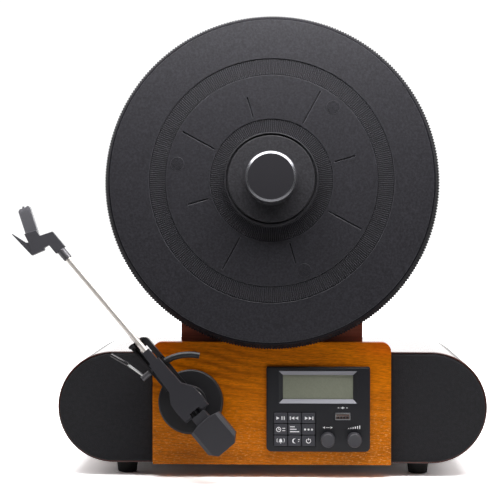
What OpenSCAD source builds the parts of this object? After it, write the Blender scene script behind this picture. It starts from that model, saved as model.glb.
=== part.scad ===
// Vertical record player: a platter that stands upright over a long wooden speaker cabinet.
// The origin is on the surface it stands on, under the middle of the cabinet.
// +X is to the right seen from the front, +Y is away from the viewer and +Z is up.

/* [Cabinet] */
// Width of the cabinet over its round ends
cabinet_w = 377; // [350:1:420]
// Height of the cabinet without its feet
cabinet_h = 98; // [94:1:112]
// Depth of the cabinet
cabinet_d = 168; // [150:1:220]
// Wall of the cabinet
cabinet_wall = 5; // [4:0.5:6]
// Lip of the cabinet that frames the grilles and the back panel
cabinet_lip = 1.6; // [1.2:0.1:2.5]
// Gap between a board and the rebate that it lies in
board_gap = 0.2; // [0.1:0.05:0.4]
// Thickness of the speaker baffle
baffle_t = 8; // [6:0.5:12]
// Thickness of the back panel
back_t = 4; // [3:0.5:6]
// Depth of the back panel's face inside the cabinet's rear edge
back_recess = 1; // [0.5:0.5:3]

/* [Feet] */
// Height of a foot
foot_h = 11; // [8:0.5:20]
// Diameter of a foot where it meets the cabinet
foot_d = 19.3; // [16:0.1:24]
// Diameter of a foot on the floor
foot_tip_d = 17; // [14:0.1:19]
// Distance of a foot from the end of the cabinet
foot_inset_x = 59; // [58:1:90]
// Distance of a foot from the front or the back of the cabinet
foot_inset_y = 22; // [14:1:40]

/* [Grilles and speakers] */
// How far a grille stands out of the cabinet's front edge
grille_proud = 2; // [0.5:0.5:4]
// Thickness of a grille's front plate
grille_plate = 1.5; // [1:0.5:2]
// Width of a grille's rear rim
grille_rim = 3.5; // [2:0.5:5]
// Gap between a grille and the lip or the front panel
grille_gap = 0.3; // [0.1:0.1:0.6]
// Depth of the baffle's face inside the cabinet's front edge
baffle_recess = 3; // [3:0.5:5]
// Gap between a speaker's flange and the grille's rim
speaker_gap = 0.65; // [0.4:0.05:2]
// Width of a speaker's flange around its hole
speaker_ring = 6; // [5.5:0.1:7]
// Depth of a speaker behind the baffle's face
speaker_depth = 38; // [30:1:60]
// Diameter of a speaker's magnet
magnet_d = 46; // [36:1:52]

/* [Front panel] */
// Width of the front panel
panel_w = 208; // [204:1:216]
// Thickness of the front panel
panel_t = 10; // [8:0.5:14]
// How far the front panel rises above the cabinet
panel_rise = 9; // [5:0.5:11]
// Radius of the front panel's top corners
panel_r = 8; // [4:0.5:15]

/* [Control panel] */
// Width of the control panel
control_w = 90; // [88:1:94]
// Height of the control panel
control_h = 74; // [72:1:78]
// Place of the control panel's middle, to the right of the cabinet's middle
control_x = 40.6; // [38:0.1:48]
// Height of the control panel's middle above the cabinet's underside
control_z = 48.9; // [46:0.1:52]
// How far the control panel stands out of the front panel
control_t = 4; // [3:0.5:6]
// Radius of the control panel's lower corners
control_r = 4.5; // [2:0.5:8]
// Radius of the control panel's upper corners
control_top_r = 1.5; // [1:0.5:6]
// Wall of the control panel's rear skirt
control_wall = 2; // [1.5:0.5:3]
// How far the skirt lies inside the control panel's edge
control_lap = 4; // [3:0.5:6]
// Depth of the skirt behind the control panel
skirt_depth = 16; // [12:1:24]
// Gap between the skirt and the hole in the wood
skirt_gap = 0.3; // [0.2:0.1:1]
// Width of the display glass that shows
window_w = 61; // [50:0.5:62]
// Height of the display glass that shows
window_h = 21; // [16:0.5:22]
// Width of the sloping frame around the display
window_bevel = 3.6; // [2:0.2:4]
// Depth of the sloping frame around the display
window_depth = 2.4; // [1:0.2:2.6]
// Place of the display's middle, from the control panel's middle
window_dx = -0.2; // [-3:0.1:3]
// Height of the display's middle above the control panel's middle
window_dz = 19.3; // [18:0.1:20]
// Thickness of the display glass
glass_t = 1.4; // [1:0.1:2]
// Lap of the display glass behind the frame
glass_lap = 2; // [1:0.5:3]

/* [Buttons and knobs] */
// Pitch of the buttons across
button_pitch_x = 12.1; // [12:0.1:13]
// Pitch of the buttons up and down
button_pitch_z = 9.9; // [9.6:0.1:10.4]
// Width of a button
button_w = 11.4; // [10:0.1:11.6]
// Height of a button
button_h = 9.1; // [8:0.1:9.3]
// Place of the middle button, from the control panel's middle
button_dx = -20.5; // [-22:0.1:-20]
// Height of the middle button, from the control panel's middle
button_dz = -17.3; // [-19:0.1:-16]
// How far a button stands out of the control panel
button_proud = 1.5; // [1.3:0.1:3]
// Travel of a button
button_travel = 1.2; // [0.6:0.1:1.2]
// Depth of the pocket that the buttons lie in
button_pocket = 2; // [1.8:0.1:2.5]
// Gap around the buttons in their pocket
button_gap = 0.35; // [0.2:0.05:0.6]
// Diameter of a small knob
knob_d = 12.7; // [11:0.1:14]
// Length of a small knob
knob_l = 12; // [8:0.5:16]
// Diameter of a small knob's stem
stem_d = 6; // [4:0.5:6.5]
// Place of the tuning knob, from the control panel's middle
tune_dx = 8.3; // [8:0.1:10]
// Place of the volume knob, from the control panel's middle
volume_dx = 31.3; // [29:0.1:32]
// Height of both small knobs, from the control panel's middle
knob_dz = -25.6; // [-26:0.1:-23]
// Running gap around a turning stem or shaft
run_gap = 0.05; // [0.02:0.01:0.1]
// Width of the data socket
socket_w = 13.2; // [12.5:0.1:14]
// Height of the data socket
socket_h = 6; // [5.5:0.1:7]
// Place of the data socket, from the control panel's middle
socket_dx = 21.3; // [18:0.1:24]
// Height of the data socket, from the control panel's middle
socket_dz = -6; // [-8:0.1:-5]

/* [Deck] */
// Angle that the platter leans back
lean = 4.5; // [2:0.5:6]
// Height of the platter's centre above the surface that the player stands on
deck_z = 259; // [256:1:275]
// Distance of the platter's face at its centre in front of the cabinet's front edge
deck_ahead = 16; // [15:0.5:22]
// Width of the riser behind the platter
riser_w = 159; // [150:1:170]
// Depth of the riser
riser_d = 48; // [44:1:60]
// Height of the riser's top above the platter's centre
riser_top = 59; // [56:1:80]
// Wall of the riser
riser_wall = 8; // [6:0.5:10]
// Distance of the riser's front behind the platter's face
riser_back = 28.2; // [28:0.2:32]
// Thickness of the riser's floor
riser_floor = 16; // [15:1:24]
// Thickness of the riser's rear cover
cover_t = 4; // [3:0.5:6]
// Width of the deck plate
plate_w = 144; // [138:1:150]
// Thickness of the deck plate
plate_t = 3; // [2:0.5:4]
// Distance of the deck plate's lower edge below the platter's centre
plate_low = 112; // [108:1:118]
// Distance of the deck plate's upper edge above the platter's centre
plate_high = 48; // [40:1:54]

/* [Platter] */
// Diameter of the platter over its toothed rim
platter_d = 292.6; // [286:0.1:296]
// Diameter of the platter's flat face
face_d = 281; // [276:0.5:284]
// Depth of the rim behind the face
rim_depth = 15; // [12:0.5:16]
// Thickness of the platter's face
face_t = 6; // [5:0.5:8]
// Wall of the rim
rim_wall = 6; // [4:0.5:8]
// Inner radius of the inner ribbed ring
inner_ring_in = 41; // [38:0.5:44]
// Outer radius of the inner ribbed ring
inner_ring_out = 53.6; // [50:0.1:56]
// Inner radius of the outer ribbed ring
outer_ring_in = 91.8; // [90:0.1:96]
// Outer radius of the outer ribbed ring
outer_ring_out = 106.5; // [102:0.1:110]
// Depth of the ribbed rings and of the slots
ring_depth = 1.2; // [0.6:0.1:2]
// Width of a radial slot
slot_w = 1.5; // [1:0.1:2.5]
// Inner end of the radial slots
slot_in = 56.5; // [56:0.5:60]
// Outer end of the long slots
slot_long = 88.5; // [80:0.5:89]
// Outer end of the short slots
slot_short = 75.5; // [66:0.5:79]
// Angle of the first long slot
slot_angle = 61.3; // [55:0.1:65]
// Diameter of a plug in the platter
plug_d = 11.5; // [9:0.1:12]
// Distance of the plugs from the platter's centre
plug_r = 83; // [78:0.5:84]
// Angle of the first plug
plug_angle = 50; // [45:1:52]
// Radius of the ring that the belt drives
drive_r = 75; // [72:0.5:76]
// Wall of the ring that the belt drives
drive_wall = 4; // [3:0.5:6]
// Depth of the belt ring behind the platter's face
drive_depth = 21; // [20:0.5:22]
// Radius of the spindle's hub behind the platter
hub_r = 14; // [11:0.5:18]
// Radius of the spindle in its bearing
spindle_r = 4; // [3.8:0.1:5]
// Radius of the spindle's tip, which fits a record's hole
spindle_tip_r = 3.55; // [3:0.05:3.6]
// Length of the spindle in front of the platter's face
spindle_tip_l = 9; // [6:0.5:10]
// Outer radius of the bearing bush
bush_r = 8; // [7:0.5:10]
// Length of the bearing bush behind the deck plate
bush_l = 26; // [20:1:30]

/* [Record clamp] */
// Radius of the clamp's flange
clamp_r = 41; // [34:0.5:46]
// Height of the clamp's flange over the platter
clamp_flange = 12.5; // [11:0.5:14]
// Diameter of the clamp's knob
clamp_knob_d = 44; // [36:1:50]
// Height of the clamp's knob over the platter
clamp_h = 33; // [26:0.5:40]
// Gap between the clamp and the platter
clamp_gap = 0.3; // [0.1:0.1:0.5]

/* [Motor and belt] */
// Distance of the motor from the platter's axis
motor_reach = 86.8; // [86:0.2:89]
// Direction of the motor from the platter's axis
motor_dir = 242.5; // [235:0.5:250]
// Diameter of the motor
motor_d = 34; // [28:1:36]
// Length of the motor
motor_l = 24; // [18:1:28]
// Radius of the pulley's groove
pulley_r = 6; // [5:0.5:7]
// Thickness of the belt
belt_t = 0.8; // [0.6:0.1:1.2]
// Width of the belt
belt_w = 4; // [3:0.5:5]
// Gap between the belt and what it runs on
belt_gap = 0.3; // [0.2:0.05:0.4]

/* [Tonearm] */
// Place of the tonearm's pivot, from the platter's centre across
arm_x = -70; // [-74:0.5:-68]
// Distance of the tonearm's pivot below the platter's centre
arm_drop = 191.8; // [190:0.2:196]
// Direction of the tonearm at rest, from the right over the top
arm_angle = 130.3; // [128:0.1:134]
// Height of the tonearm's tube over the platter's face
arm_z = 13; // [12.5:0.1:14]
// Diameter of the base disc
base_d = 56; // [50:1:60]
// Depth of the base disc's top behind the platter's face
base_top = 9; // [8.5:0.5:10]
// Half width of the housing at its pivot screws
housing_hw = 12.8; // [12:0.1:14]
// Wall of the housing
housing_wall = 2.5; // [2:0.1:3]
// Half width of the neck at its root
neck_hw = 6.3; // [5.8:0.1:7]
// Half width of the neck at its step
neck_end_hw = 5.2; // [4.8:0.1:5.6]
// Distance of the neck's step from the pivot
neck_step = 46; // [44:0.5:50]
// Distance of the neck's end from the pivot
neck_end = 57.5; // [55:0.5:62]
// Diameter of the arm tube
tube_d = 5.3; // [5:0.1:6]
// Distance of the tube's visible end from the pivot
tube_end = 161; // [150:1:165]
// Diameter of the collar at the end of the tube
collar_d = 7.5; // [7:0.1:9]
// Length of the collar
collar_l = 10; // [7:0.5:12]
// Distance of the stylus from the pivot
stylus_reach = 216; // [215:0.5:218]
// Offset of the stylus to the side of the tube
stylus_side = -3.6; // [-4.2:0.1:-3]
// Angle of the cartridge to the tube
offset_angle = 21.5; // [20:0.5:24]
// Width of the stylus guard
guard_w = 10.7; // [10:0.1:12]
// Length of the stylus guard
guard_l = 23.5; // [22.5:0.5:24]
// Wall of the stylus guard
guard_wall = 0.8; // [0.6:0.1:1]
// Height of the guard's underside over the platter's face
guard_low = 0.8; // [0.5:0.1:1]
// Height of the stylus tip over the platter's face
tip_z = 2; // [1.9:0.1:2.4]
// Half width of the counterweight
weight_hw = 15; // [12:0.5:17]
// Length of the counterweight's body
weight_l = 31; // [24:1:34]
// Thickness of the counterweight
weight_t = 21; // [16:1:24]

/* [Arm rest and cueing] */
// Distance of the rest fork from the pivot
fork_u = 68.5; // [67:0.5:72]
// Thickness of the arm rest's floor
rest_t = 3.5; // [2.5:0.5:4]
// Gap between the rest fork and the tube
rest_gap = 0.35; // [0.3:0.05:0.6]
// Distance of the lifter bar from the pivot
lifter_r = 41; // [40:0.5:42]
// Diameter of the lifter bar
lifter_d = 5.4; // [4:0.1:5.5]
// Lift of the lifter bar
lift = 3.5; // [2.5:0.1:3.6]
// Turn of the cue lever
cue_turn = 75; // [60:1:80]
// Diameter of the cue lever's barrel
barrel_d = 5; // [4:0.1:5.2]
// Diameter of the cue lever's rod
rod_d = 2; // [1.5:0.1:3]
// Diameter of the cue lever's grip
grip_d = 3.3; // [2.8:0.1:4]

/* [Sockets at the back] */
// Radius of a line-out socket's sleeve
line_r = 4.15; // [4:0.05:4.3]
// Length of a line-out socket's sleeve
line_l = 9; // [7:0.5:10]
// Distance between the two line-out sockets
line_pitch = 16; // [14:0.5:20]
// Radius of the auxiliary socket's bore
aux_r = 1.8; // [1.7:0.05:1.9]
// Depth of the auxiliary socket's bore
aux_l = 14; // [12:0.5:15]
// Radius of the power inlet's bore
inlet_r = 2.8; // [2.6:0.05:3.2]
// Radius of the power inlet's centre pin
inlet_pin_r = 1; // [0.8:0.05:1.1]
// Depth of the power inlet's bore
inlet_l = 9; // [8:0.5:10]

/* [Screws] */
// Radius of a case screw
screw_r = 1.75; // [1.5:0.05:2]
// Radius of a case screw's head
screw_head_r = 3.2; // [2.8:0.1:3.3]
// Height of a case screw's head
screw_head_h = 1.2; // [1:0.1:1.3]
// Length of a case screw under its head
screw_l = 14; // [13:0.5:14.5]

/* [Hidden] */
$fn = 72;
eps = 0.01;
through = 200;
screw_way = 12;

// Cabinet
front_y = -cabinet_d / 2;
back_y = cabinet_d / 2;
mid_z = foot_h + cabinet_h / 2;
top_z = foot_h + cabinet_h;
front_rebate = baffle_recess + baffle_t;
back_rebate = back_recess + back_t;
baffle_y = front_y + baffle_recess;
back_panel_y = back_y - back_rebate;
foot_x = cabinet_w / 2 - foot_inset_x;
foot_y = cabinet_d / 2 - foot_inset_y;
foot_bore_r = screw_head_r + 0.4;
foot_seat = 5;
screw_clear = 0.2;
screw_pilot = 0.05;

// Speakers
grille_in = panel_w / 2 + grille_gap + grille_rim;
grille_out = cabinet_w / 2 - cabinet_lip - grille_gap - grille_rim;
grille_room = min(grille_out - grille_in, cabinet_h - cabinet_w + 2 * grille_out);
speaker_x = (grille_in + grille_out) / 2;
speaker_d = grille_room - 2 * speaker_gap;
speaker_hole_d = speaker_d - 2 * speaker_ring;
speaker_flange = 2;
speaker_screw_r = (speaker_d - speaker_ring) / 2;
cone_rim = 4;
dust_cap_h = 3.5;
basket_gap = 0.5;
magnet_t = 14;
basket_lip = 6;
throat_in = 4;
cone_depth = 12;
dust_cap_r = 10;

// Front panel and control panel
panel_y = front_y - panel_t;
panel_h = cabinet_h + panel_rise;
control_y = panel_y - control_t;
control_mid_z = foot_h + control_z;
skirt_w = control_w - 2 * control_lap;
skirt_h = control_h - 2 * control_lap;
cutout_w = skirt_w + 2 * skirt_gap;
cutout_h = skirt_h + 2 * skirt_gap;
baffle_cut_w = cutout_w + 4;
baffle_cut_h = cutout_h + 4;
control_chamfer = 1;
window_x = control_x + window_dx;
window_z = control_mid_z + window_dz;
glass_y = panel_y - 1;
glass_w = window_w + 2 * glass_lap;
glass_h = window_h + 2 * glass_lap;
glass_gap = 0.2;
module_t = 4;
board_t = 1.6;
pocket_y = control_y + button_pocket;
button_x = control_x + button_dx;
button_z = control_mid_z + button_dz;
stem_w = 5;
stem_h = 4;
button_board_y = panel_y + 6;
switch_w = 6;
switch_y = button_board_y - 1.5;
knob_gap = 0.4;
knob_z = control_mid_z + knob_dz;
tune_x = control_x + tune_dx;
volume_x = control_x + volume_dx;
bush_wall = 0.7;
socket_x = control_x + socket_dx;
socket_z = control_mid_z + socket_dz;
socket_l = 14;
socket_wall = 0.5;
socket_proud = 0.4;

// Deck
deck_y = front_y - deck_ahead;
riser_front = -riser_back;
riser_rear = riser_front - riser_d;
plate_front = riser_front + plate_t;
floor_yd = (top_z - deck_z) / cos(lean);
platter_r = platter_d / 2;
face_r = face_d / 2;
plug_depth = 2;
plug_proud = 0.3;
plug_gap = 0.1;
drive_in = drive_r - drive_wall;
drive_seat = -face_t + 1.5;
rim_lip = 2;
rim_edge = 1.5;
belt_z = -drive_depth + 1;
bush_flange_r = 15;
bush_flange_t = 2.5;
bush_screw_r = 11.5;
spindle_back = -riser_back - bush_l - 2;
cover_vents = 6;
cover_vent_y = -90;
hub_back = plate_front + bush_flange_t + 0.3;
motor_x = motor_reach * cos(motor_dir);
motor_yd = motor_reach * sin(motor_dir);
motor_front = riser_front - 4;
motor_shaft_r = 1;
motor_ear_r = motor_d / 2 + 5.5;
motor_ear_t = 2;
grommet_hole_r = 2;
grommet_neck_r = 2.5;
grommet_r = 3.4;
motor_bore_l = 8;
ear_hole_r = motor_d / 2 + 2.3;
pulley_l = belt_w + 4;
pulley_flange = 1;
pulley_flange_r = pulley_r + 2;

// Tonearm: u runs along the arm, v to its right and z out of the deck
arm_yd = -arm_drop;
boss_r = 14;
boss_top = -2;
yoke_shaft_r = 4;
arm_bush_r = 6;
arm_bush_l = 14;
base_deep = 40;
base_edge = 1.2;
arm_bush_flange_r = 8;
arm_bush_flange_t = 1;
yoke_gap = 0.3;
yoke_hw = housing_hw - housing_wall - 0.4;
yoke_web = 3.5;
yoke_barrel_r = 5;
yoke_foot_r = 9;
yoke_foot_t = 1.8;
pivot_r = 1.5;
pivot_in = 5;
housing_low = arm_z - 7;
housing_high = arm_z + 8;
housing_roof = 2;
neck_low = arm_z - 3.7;
neck_tip_high = arm_z + 4;
neck_tip_hw = 3.5;
tube_start = neck_end - 8;
tube_in = tube_end + collar_l + 5;
fit_gap = 0.05;
notch_hw = 5;
notch_u = -8;
housing_rear = -12;
neck_start = 17;
shoulder_u = 9;
shoulder_in = 0.8;
chin_u = 12;
housing_edge = 1.8;
stem_rod_d = 5;
spring_u = 7;
spring_z = arm_z - 4;
spring_post_r = 0.9;
spring_wire = 0.4;
lead_hole_r = 1.6;
stem_end = -40;
weight_neck_hw = 6.6;
weight_neck_up = 7;
weight_front = -12.5;
weight_step = -20;
weight_rear = weight_step - weight_l;
weight_chamfer = 6.5;
head_start = tube_end + collar_l;
heel_ahead = 12.3;
heel_u = head_start + heel_ahead;

// Headshell: w runs along the cartridge from the rear of the guard
stylus_w = 17.8;
head_hw = 4.9;
head_l = 16.5;
head_bend_u = 20.8;
head_bend_v = 5.9;
heel_v = -21.9;
heel_w = 9.5;
toe_l = 3.4;
toe_w = 11.2;
blade_l = 25.1;
blade_w = 3.3;
blade_t = 1.2;
guard_back = stylus_reach - stylus_w * cos(offset_angle);
guard_side = stylus_side - stylus_w * sin(offset_angle);
guard_high = 8.5;
guard_fit = 0.3;
stylus_d = 0.6;
nose_hw = guard_w / 2 - guard_wall - guard_fit;
nose_low = 3.4;
nose_l = 10;
cartridge_l = 13;
nose_high = guard_high - guard_wall - guard_fit;
head_low = arm_z - 3.8;
head_high = arm_z + 3.4;

// Arm rest and cueing
rest_low = -base_top;
rest_floor = rest_low + rest_t;
rest_left = -9.6;
rest_right = 7.8;
rest_corner = 5;
rest_start = 8;
rest_slot_in = 48;
rest_slot_out = 62;
rest_slot_hw = 5;
rail_start = 20;
rail_h = 5;
rib_start = 46;
rib_w = 4.4;
rib_h = 8;
lug_hw = 3;
lug_from = -4;
finger_from = -8;
finger_to = -4.4;
finger_l = 2;
post_wall = 1.5;
post_boss_h = 2.5;
rail_w = 2;
saddle_t = 2;
saddle_z = arm_z - tube_d / 2 - rest_gap;
finger_z = arm_z + 4;
cue_u = 41.6;
cue_z = -0.1;
cue_shaft_r = 1.5;
cue_start = -18.5;
cue_end = 2.7;
cam_back = -0.4;
cam_lean = -cue_turn / 2;
cam_offset = lift / (2 * sin(cue_turn / 2));
cam_r = 3.3;
lifter_from = 78;
lifter_to = 120.5;
lifter_z = neck_low - 0.45 - lifter_d / 2;
post_r = 1.5;
post_u = lifter_r * cos(arm_angle - lifter_to);
post_v = lifter_r * sin(arm_angle - lifter_to);
post_low = rest_low - 2;
tab_z = cue_z + cam_r - cam_offset * sin(cue_turn / 2) + 0.3;
tab_t = 1.5;

// Back
boss_w = 12;
boss_h = 12;
boss_l = 16;
boss_bite = 1;
vent_x = 120;
vent_w = 50;
vent_h = 3;
vent_pitch = 8;
vents = 7;
socket_ring = 1.2;
socket_gap = 0.2;
aux_nose_r = 3.1;
inlet_nose_r = 5;
nose_out = 0.4;
line_body_w = 12;
aux_body_w = 10;
inlet_body_w = 11;
line_x = -32;
aux_x = 4;
inlet_x = 40;
socket_back_z = mid_z + 8;
main_board_back = 16;
main_board_y = back_panel_y - main_board_back;
main_board_w = 120;
main_board_h = 60;
chip_w = 14;

// A 2D shape in X and Z, made solid from y0 backwards
module along_y(y0, depth) {
    translate([0, y0 + depth, 0]) rotate([90, 0, 0]) linear_extrude(depth) children();
}

// A round bar along Y
module bar_y(x, z, y0, depth, r) {
    translate([x, y0 + depth, z]) rotate([90, 0, 0]) cylinder(r = r, h = depth);
}

module deck() {
    translate([0, deck_y, deck_z]) rotate([90 - lean, 0, 0]) children();
}

module arm() {
    deck() translate([arm_x, arm_yd, 0]) rotate([0, 0, arm_angle]) mirror([0, 1, 0]) children();
}

// A round bar along u, from u0 to u1
module bar_u(u0, u1, r) {
    translate([u0, 0, 0]) rotate([0, 90, 0]) cylinder(r = r, h = u1 - u0);
}

// A round bar along v, from v0 to v1
module bar_v(v0, v1, r) {
    translate([0, v0, 0]) rotate([-90, 0, 0]) cylinder(r = r, h = v1 - v0);
}

module slab(u0, u1, v0, v1, z0, z1) {
    translate([u0, v0, z0]) cube([u1 - u0, v1 - v0, z1 - z0]);
}

module stadium(inset) {
    h = cabinet_h - 2 * inset;
    w = cabinet_w - 2 * inset;
    translate([0, mid_z]) square([w - h, h], center = true);
    for (side = [-1, 1]) translate([side * (w - h) / 2, mid_z]) circle(d = h);
}

module centred_box_2d(x, z, w, h) {
    translate([x, z]) square([w, h], center = true);
}

// A case screw with its head at the origin and its tip down Z
module screw() {
    cylinder(r = screw_head_r, h = screw_head_h);
    translate([0, 0, -screw_l]) cylinder(r = screw_r, h = screw_l + eps);
}

// The hole for a case screw: clear through what it holds, tight in what it bites
module screw_hole(held) {
    translate([0, 0, -held]) cylinder(r = screw_r + screw_clear, h = held + screw_way);
    translate([0, 0, -screw_l - 0.5]) cylinder(r = screw_r + screw_pilot, h = screw_l + 1);
}

// Places of the case screws: each leaves its head's seat at the origin
module at_feet() {
    for (x = [-foot_x, foot_x]) for (y = [-foot_y, foot_y])
        translate([x, y, foot_h - foot_seat]) rotate([180, 0, 0]) children();
}

module at_speaker(side) {
    for (a = [45:90:315])
        translate([
            side * speaker_x + speaker_screw_r * cos(a),
            baffle_y - speaker_flange,
            mid_z + speaker_screw_r * sin(a)
        ]) rotate([90, 0, 0]) children();
}

panel_screw_x = panel_w / 2 - 11;
panel_screw_z = cabinet_h / 2 - 15;
module at_panel() {
    for (x = [-panel_screw_x, panel_screw_x]) for (z = [-panel_screw_z, panel_screw_z])
        translate([x, baffle_y + baffle_t, mid_z + z]) rotate([-90, 0, 0]) children();
}

back_screw_x = 128;
back_screw_in = 5;
back_screw_z = cabinet_h / 2 - cabinet_wall - back_screw_in;
module at_back() {
    for (x = [-back_screw_x, back_screw_x]) for (z = [-back_screw_z, back_screw_z])
        translate([x, back_y - back_recess, mid_z + z]) rotate([-90, 0, 0]) children();
}

cover_screw_x = riser_w / 2 - riser_wall / 2;
module at_cover() {
    deck() for (x = [-cover_screw_x, cover_screw_x]) for (y = [-100, 30])
        translate([x, y, riser_rear - cover_t]) rotate([180, 0, 0]) children();
}

riser_screw_x = 50;
riser_screw_y = front_y + 32;
module at_riser() {
    for (x = [-riser_screw_x, riser_screw_x])
        translate([x, riser_screw_y, top_z - cabinet_wall]) rotate([180, 0, 0]) children();
}

plate_screw_x = plate_w / 2 - 6;
module at_plate() {
    deck() for (x = [-plate_screw_x, plate_screw_x]) for (y = [-plate_low + 6, plate_high - 6])
        translate([x, y, plate_front]) children();
}

arm_screw_r = 20;
module at_arm() {
    for (a = [60:120:300])
        translate([
            arm_x + arm_screw_r * cos(a),
            front_y - 3,
            arm_base_z + arm_screw_r * sin(a)
        ]) rotate([-90, 0, 0]) children();
}

// Height of the tonearm's pivot axis where it meets the front panel
panel_to_face = ((panel_y - deck_y) + arm_drop * sin(lean)) / cos(lean);
arm_base_z = deck_z + arm_yd * cos(lean) - panel_to_face * sin(lean);

module cabinet_shell() {
    color([0.23, 0.09, 0.06]) difference() {
        union() {
            difference() {
                along_y(front_y, cabinet_d) stadium(0);
                along_y(front_y - 1, cabinet_d + 2) stadium(cabinet_wall);
            }
            for (x = [-back_screw_x, back_screw_x]) for (z = [-1, 1])
                back_boss(x, z);
        }
        along_y(front_y - 1, front_rebate + 1) stadium(cabinet_lip);
        along_y(back_panel_y, back_rebate + 1) stadium(cabinet_lip);
        at_back() screw_hole(back_t);
        at_feet() screw_hole(foot_seat);
        at_riser() screw_hole(cabinet_wall);
    }
}

// A block inside the shell that takes a back panel screw
module back_boss(x, side) {
    z = mid_z + side * (cabinet_h / 2 - cabinet_wall - boss_h / 2 + boss_bite);
    along_y(back_panel_y - boss_l, boss_l) centred_box_2d(x, z, boss_w, boss_h);
}

module feet() {
    color([0.09, 0.085, 0.085]) for (x = [-foot_x, foot_x]) for (y = [-foot_y, foot_y])
        translate([x, y, 0]) difference() {
            cylinder(r1 = foot_tip_d / 2, r2 = foot_d / 2, h = foot_h);
            translate([0, 0, -1]) cylinder(r = foot_bore_r, h = foot_h - foot_seat + 1);
            cylinder(r = screw_r + screw_clear, h = foot_h + 1);
        }
}

module case_screws() {
    color([0.25, 0.25, 0.27]) {
        at_feet() screw();
        at_speaker(-1) screw();
        at_speaker(1) screw();
        at_panel() screw();
        at_back() screw();
        at_cover() screw();
        at_riser() screw();
        at_plate() screw();
        at_arm() screw();
    }
}

module baffle() {
    color([0.55, 0.44, 0.32]) difference() {
        union() {
            along_y(baffle_y, baffle_t) stadium(cabinet_lip + board_gap);
            along_y(front_y, baffle_recess + eps) intersection() {
                stadium(cabinet_lip + board_gap);
                centred_box_2d(0, mid_z, panel_w - 1, cabinet_h);
            }
        }
        for (side = [-1, 1])
            bar_y(side * speaker_x, mid_z, front_y - 1, front_rebate + 2, speaker_hole_d / 2);
        along_y(front_y - 1, front_rebate + 2)
            centred_box_2d(control_x, control_mid_z, baffle_cut_w, baffle_cut_h);
        bar_y(arm_x, arm_base_z, front_y - 1, front_rebate + 2, base_d / 2 - 3);
        for (side = [-1, 1]) at_speaker(side) screw_hole(speaker_flange);
        at_panel() screw_hole(front_rebate);
    }
}

// A speaker facing the viewer, its flange on the baffle's face
module speaker(side) {
    r = speaker_hole_d / 2 - basket_gap;
    throat = magnet_d / 2 - throat_in;
    back = speaker_depth - magnet_t;
    color([0.1, 0.1, 0.11]) difference() {
        translate([side * speaker_x, baffle_y, mid_z]) rotate([-90, 0, 0]) rotate_extrude()
            polygon([
                [0, cone_depth - dust_cap_h - 1.5], [dust_cap_r * 0.7, cone_depth - dust_cap_h],
                [dust_cap_r, cone_depth], [r - cone_rim, 1], [r - cone_rim / 2, -speaker_flange],
                [speaker_d / 2, -speaker_flange], [speaker_d / 2, 0], [r, 0],
                [r - 1, basket_lip], [throat, back], [magnet_d / 2, back],
                [magnet_d / 2, speaker_depth], [0, speaker_depth]
            ]);
        at_speaker(side) screw_hole(speaker_flange);
    }
}

module speakers() {
    speaker(-1);
    speaker(1);
}

// The space between the front panel and the cabinet's lip on one side
module grille_block(side, inset, y0, depth) {
    edge = panel_w / 2 + grille_gap + inset;
    reach = cabinet_w / 2 - edge;
    intersection() {
        along_y(y0, depth) stadium(cabinet_lip + grille_gap + inset);
        along_y(y0 - 1, depth + 2) centred_box_2d(side * (edge + reach / 2), mid_z, reach, cabinet_h);
    }
}

module grille(side) {
    grille_y = front_y - grille_proud;
    color([0.14, 0.14, 0.155]) difference() {
        grille_block(side, 0, grille_y, baffle_y - grille_y);
        grille_block(side, grille_rim, grille_y + grille_plate, cabinet_d / 2);
    }
}

module grilles() {
    grille(-1);
    grille(1);
}

module panel_outline() {
    z = foot_h + panel_h - panel_r;
    centred_box_2d(0, (foot_h + z) / 2, panel_w, z - foot_h);
    centred_box_2d(0, z, panel_w - 2 * panel_r, 2 * panel_r);
    for (side = [-1, 1]) translate([side * (panel_w / 2 - panel_r), z]) circle(r = panel_r);
}

module front_panel() {
    color([0.62, 0.34, 0.1]) difference() {
        along_y(panel_y, panel_t) panel_outline();
        along_y(panel_y - 1, panel_t + 2)
            centred_box_2d(control_x, control_mid_z, cutout_w, cutout_h);
        bar_y(arm_x, arm_base_z, panel_y - 1, panel_t + 2, 5);
        at_panel() screw_hole(front_rebate);
        at_arm() screw_hole(panel_t - 3);
        at_arm() cylinder(r = screw_head_r + 0.5, h = panel_t);
    }
}

module back_panel() {
    color([0.12, 0.12, 0.13]) difference() {
        along_y(back_panel_y, back_t) stadium(cabinet_lip + board_gap);
        for (side = [-1, 1]) for (i = [0:vents - 1])
            along_y(back_panel_y - 1, back_t + 2)
                centred_box_2d(side * vent_x, mid_z + (i - (vents - 1) / 2) * vent_pitch, vent_w, vent_h);
        for (x = [line_x - line_pitch / 2, line_x + line_pitch / 2])
            bar_y(x, socket_back_z, back_panel_y - 1, back_t + 2, line_r + socket_ring);
        bar_y(aux_x, socket_back_z, back_panel_y - 1, back_t + 2, aux_nose_r + socket_gap);
        bar_y(inlet_x, socket_back_z, back_panel_y - 1, back_t + 2, inlet_nose_r + socket_gap);
        at_back() screw_hole(back_t);
    }
}

// A socket body on the main board, whose nose reaches out through the back panel
module socket_body(x, z, w, nose_r, nose_out) {
    along_y(main_board_y + board_t, back_panel_y - main_board_y - board_t - 0.3)
        centred_box_2d(x, z, w, w);
    bar_y(x, z, back_panel_y - 1, back_t + 1 + nose_out, nose_r);
}

module line_out_sockets() {
    color([0.75, 0.72, 0.6]) for (x = [line_x - line_pitch / 2, line_x + line_pitch / 2])
        difference() {
            union() {
                socket_body(x, socket_back_z, line_body_w, line_r + socket_ring - socket_gap, 0);
                bar_y(x, socket_back_z, back_panel_y + back_t - eps, line_l, line_r);
            }
            bar_y(x, socket_back_z, back_panel_y + 1, back_t + line_l, 1.6);
        }
}

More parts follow.
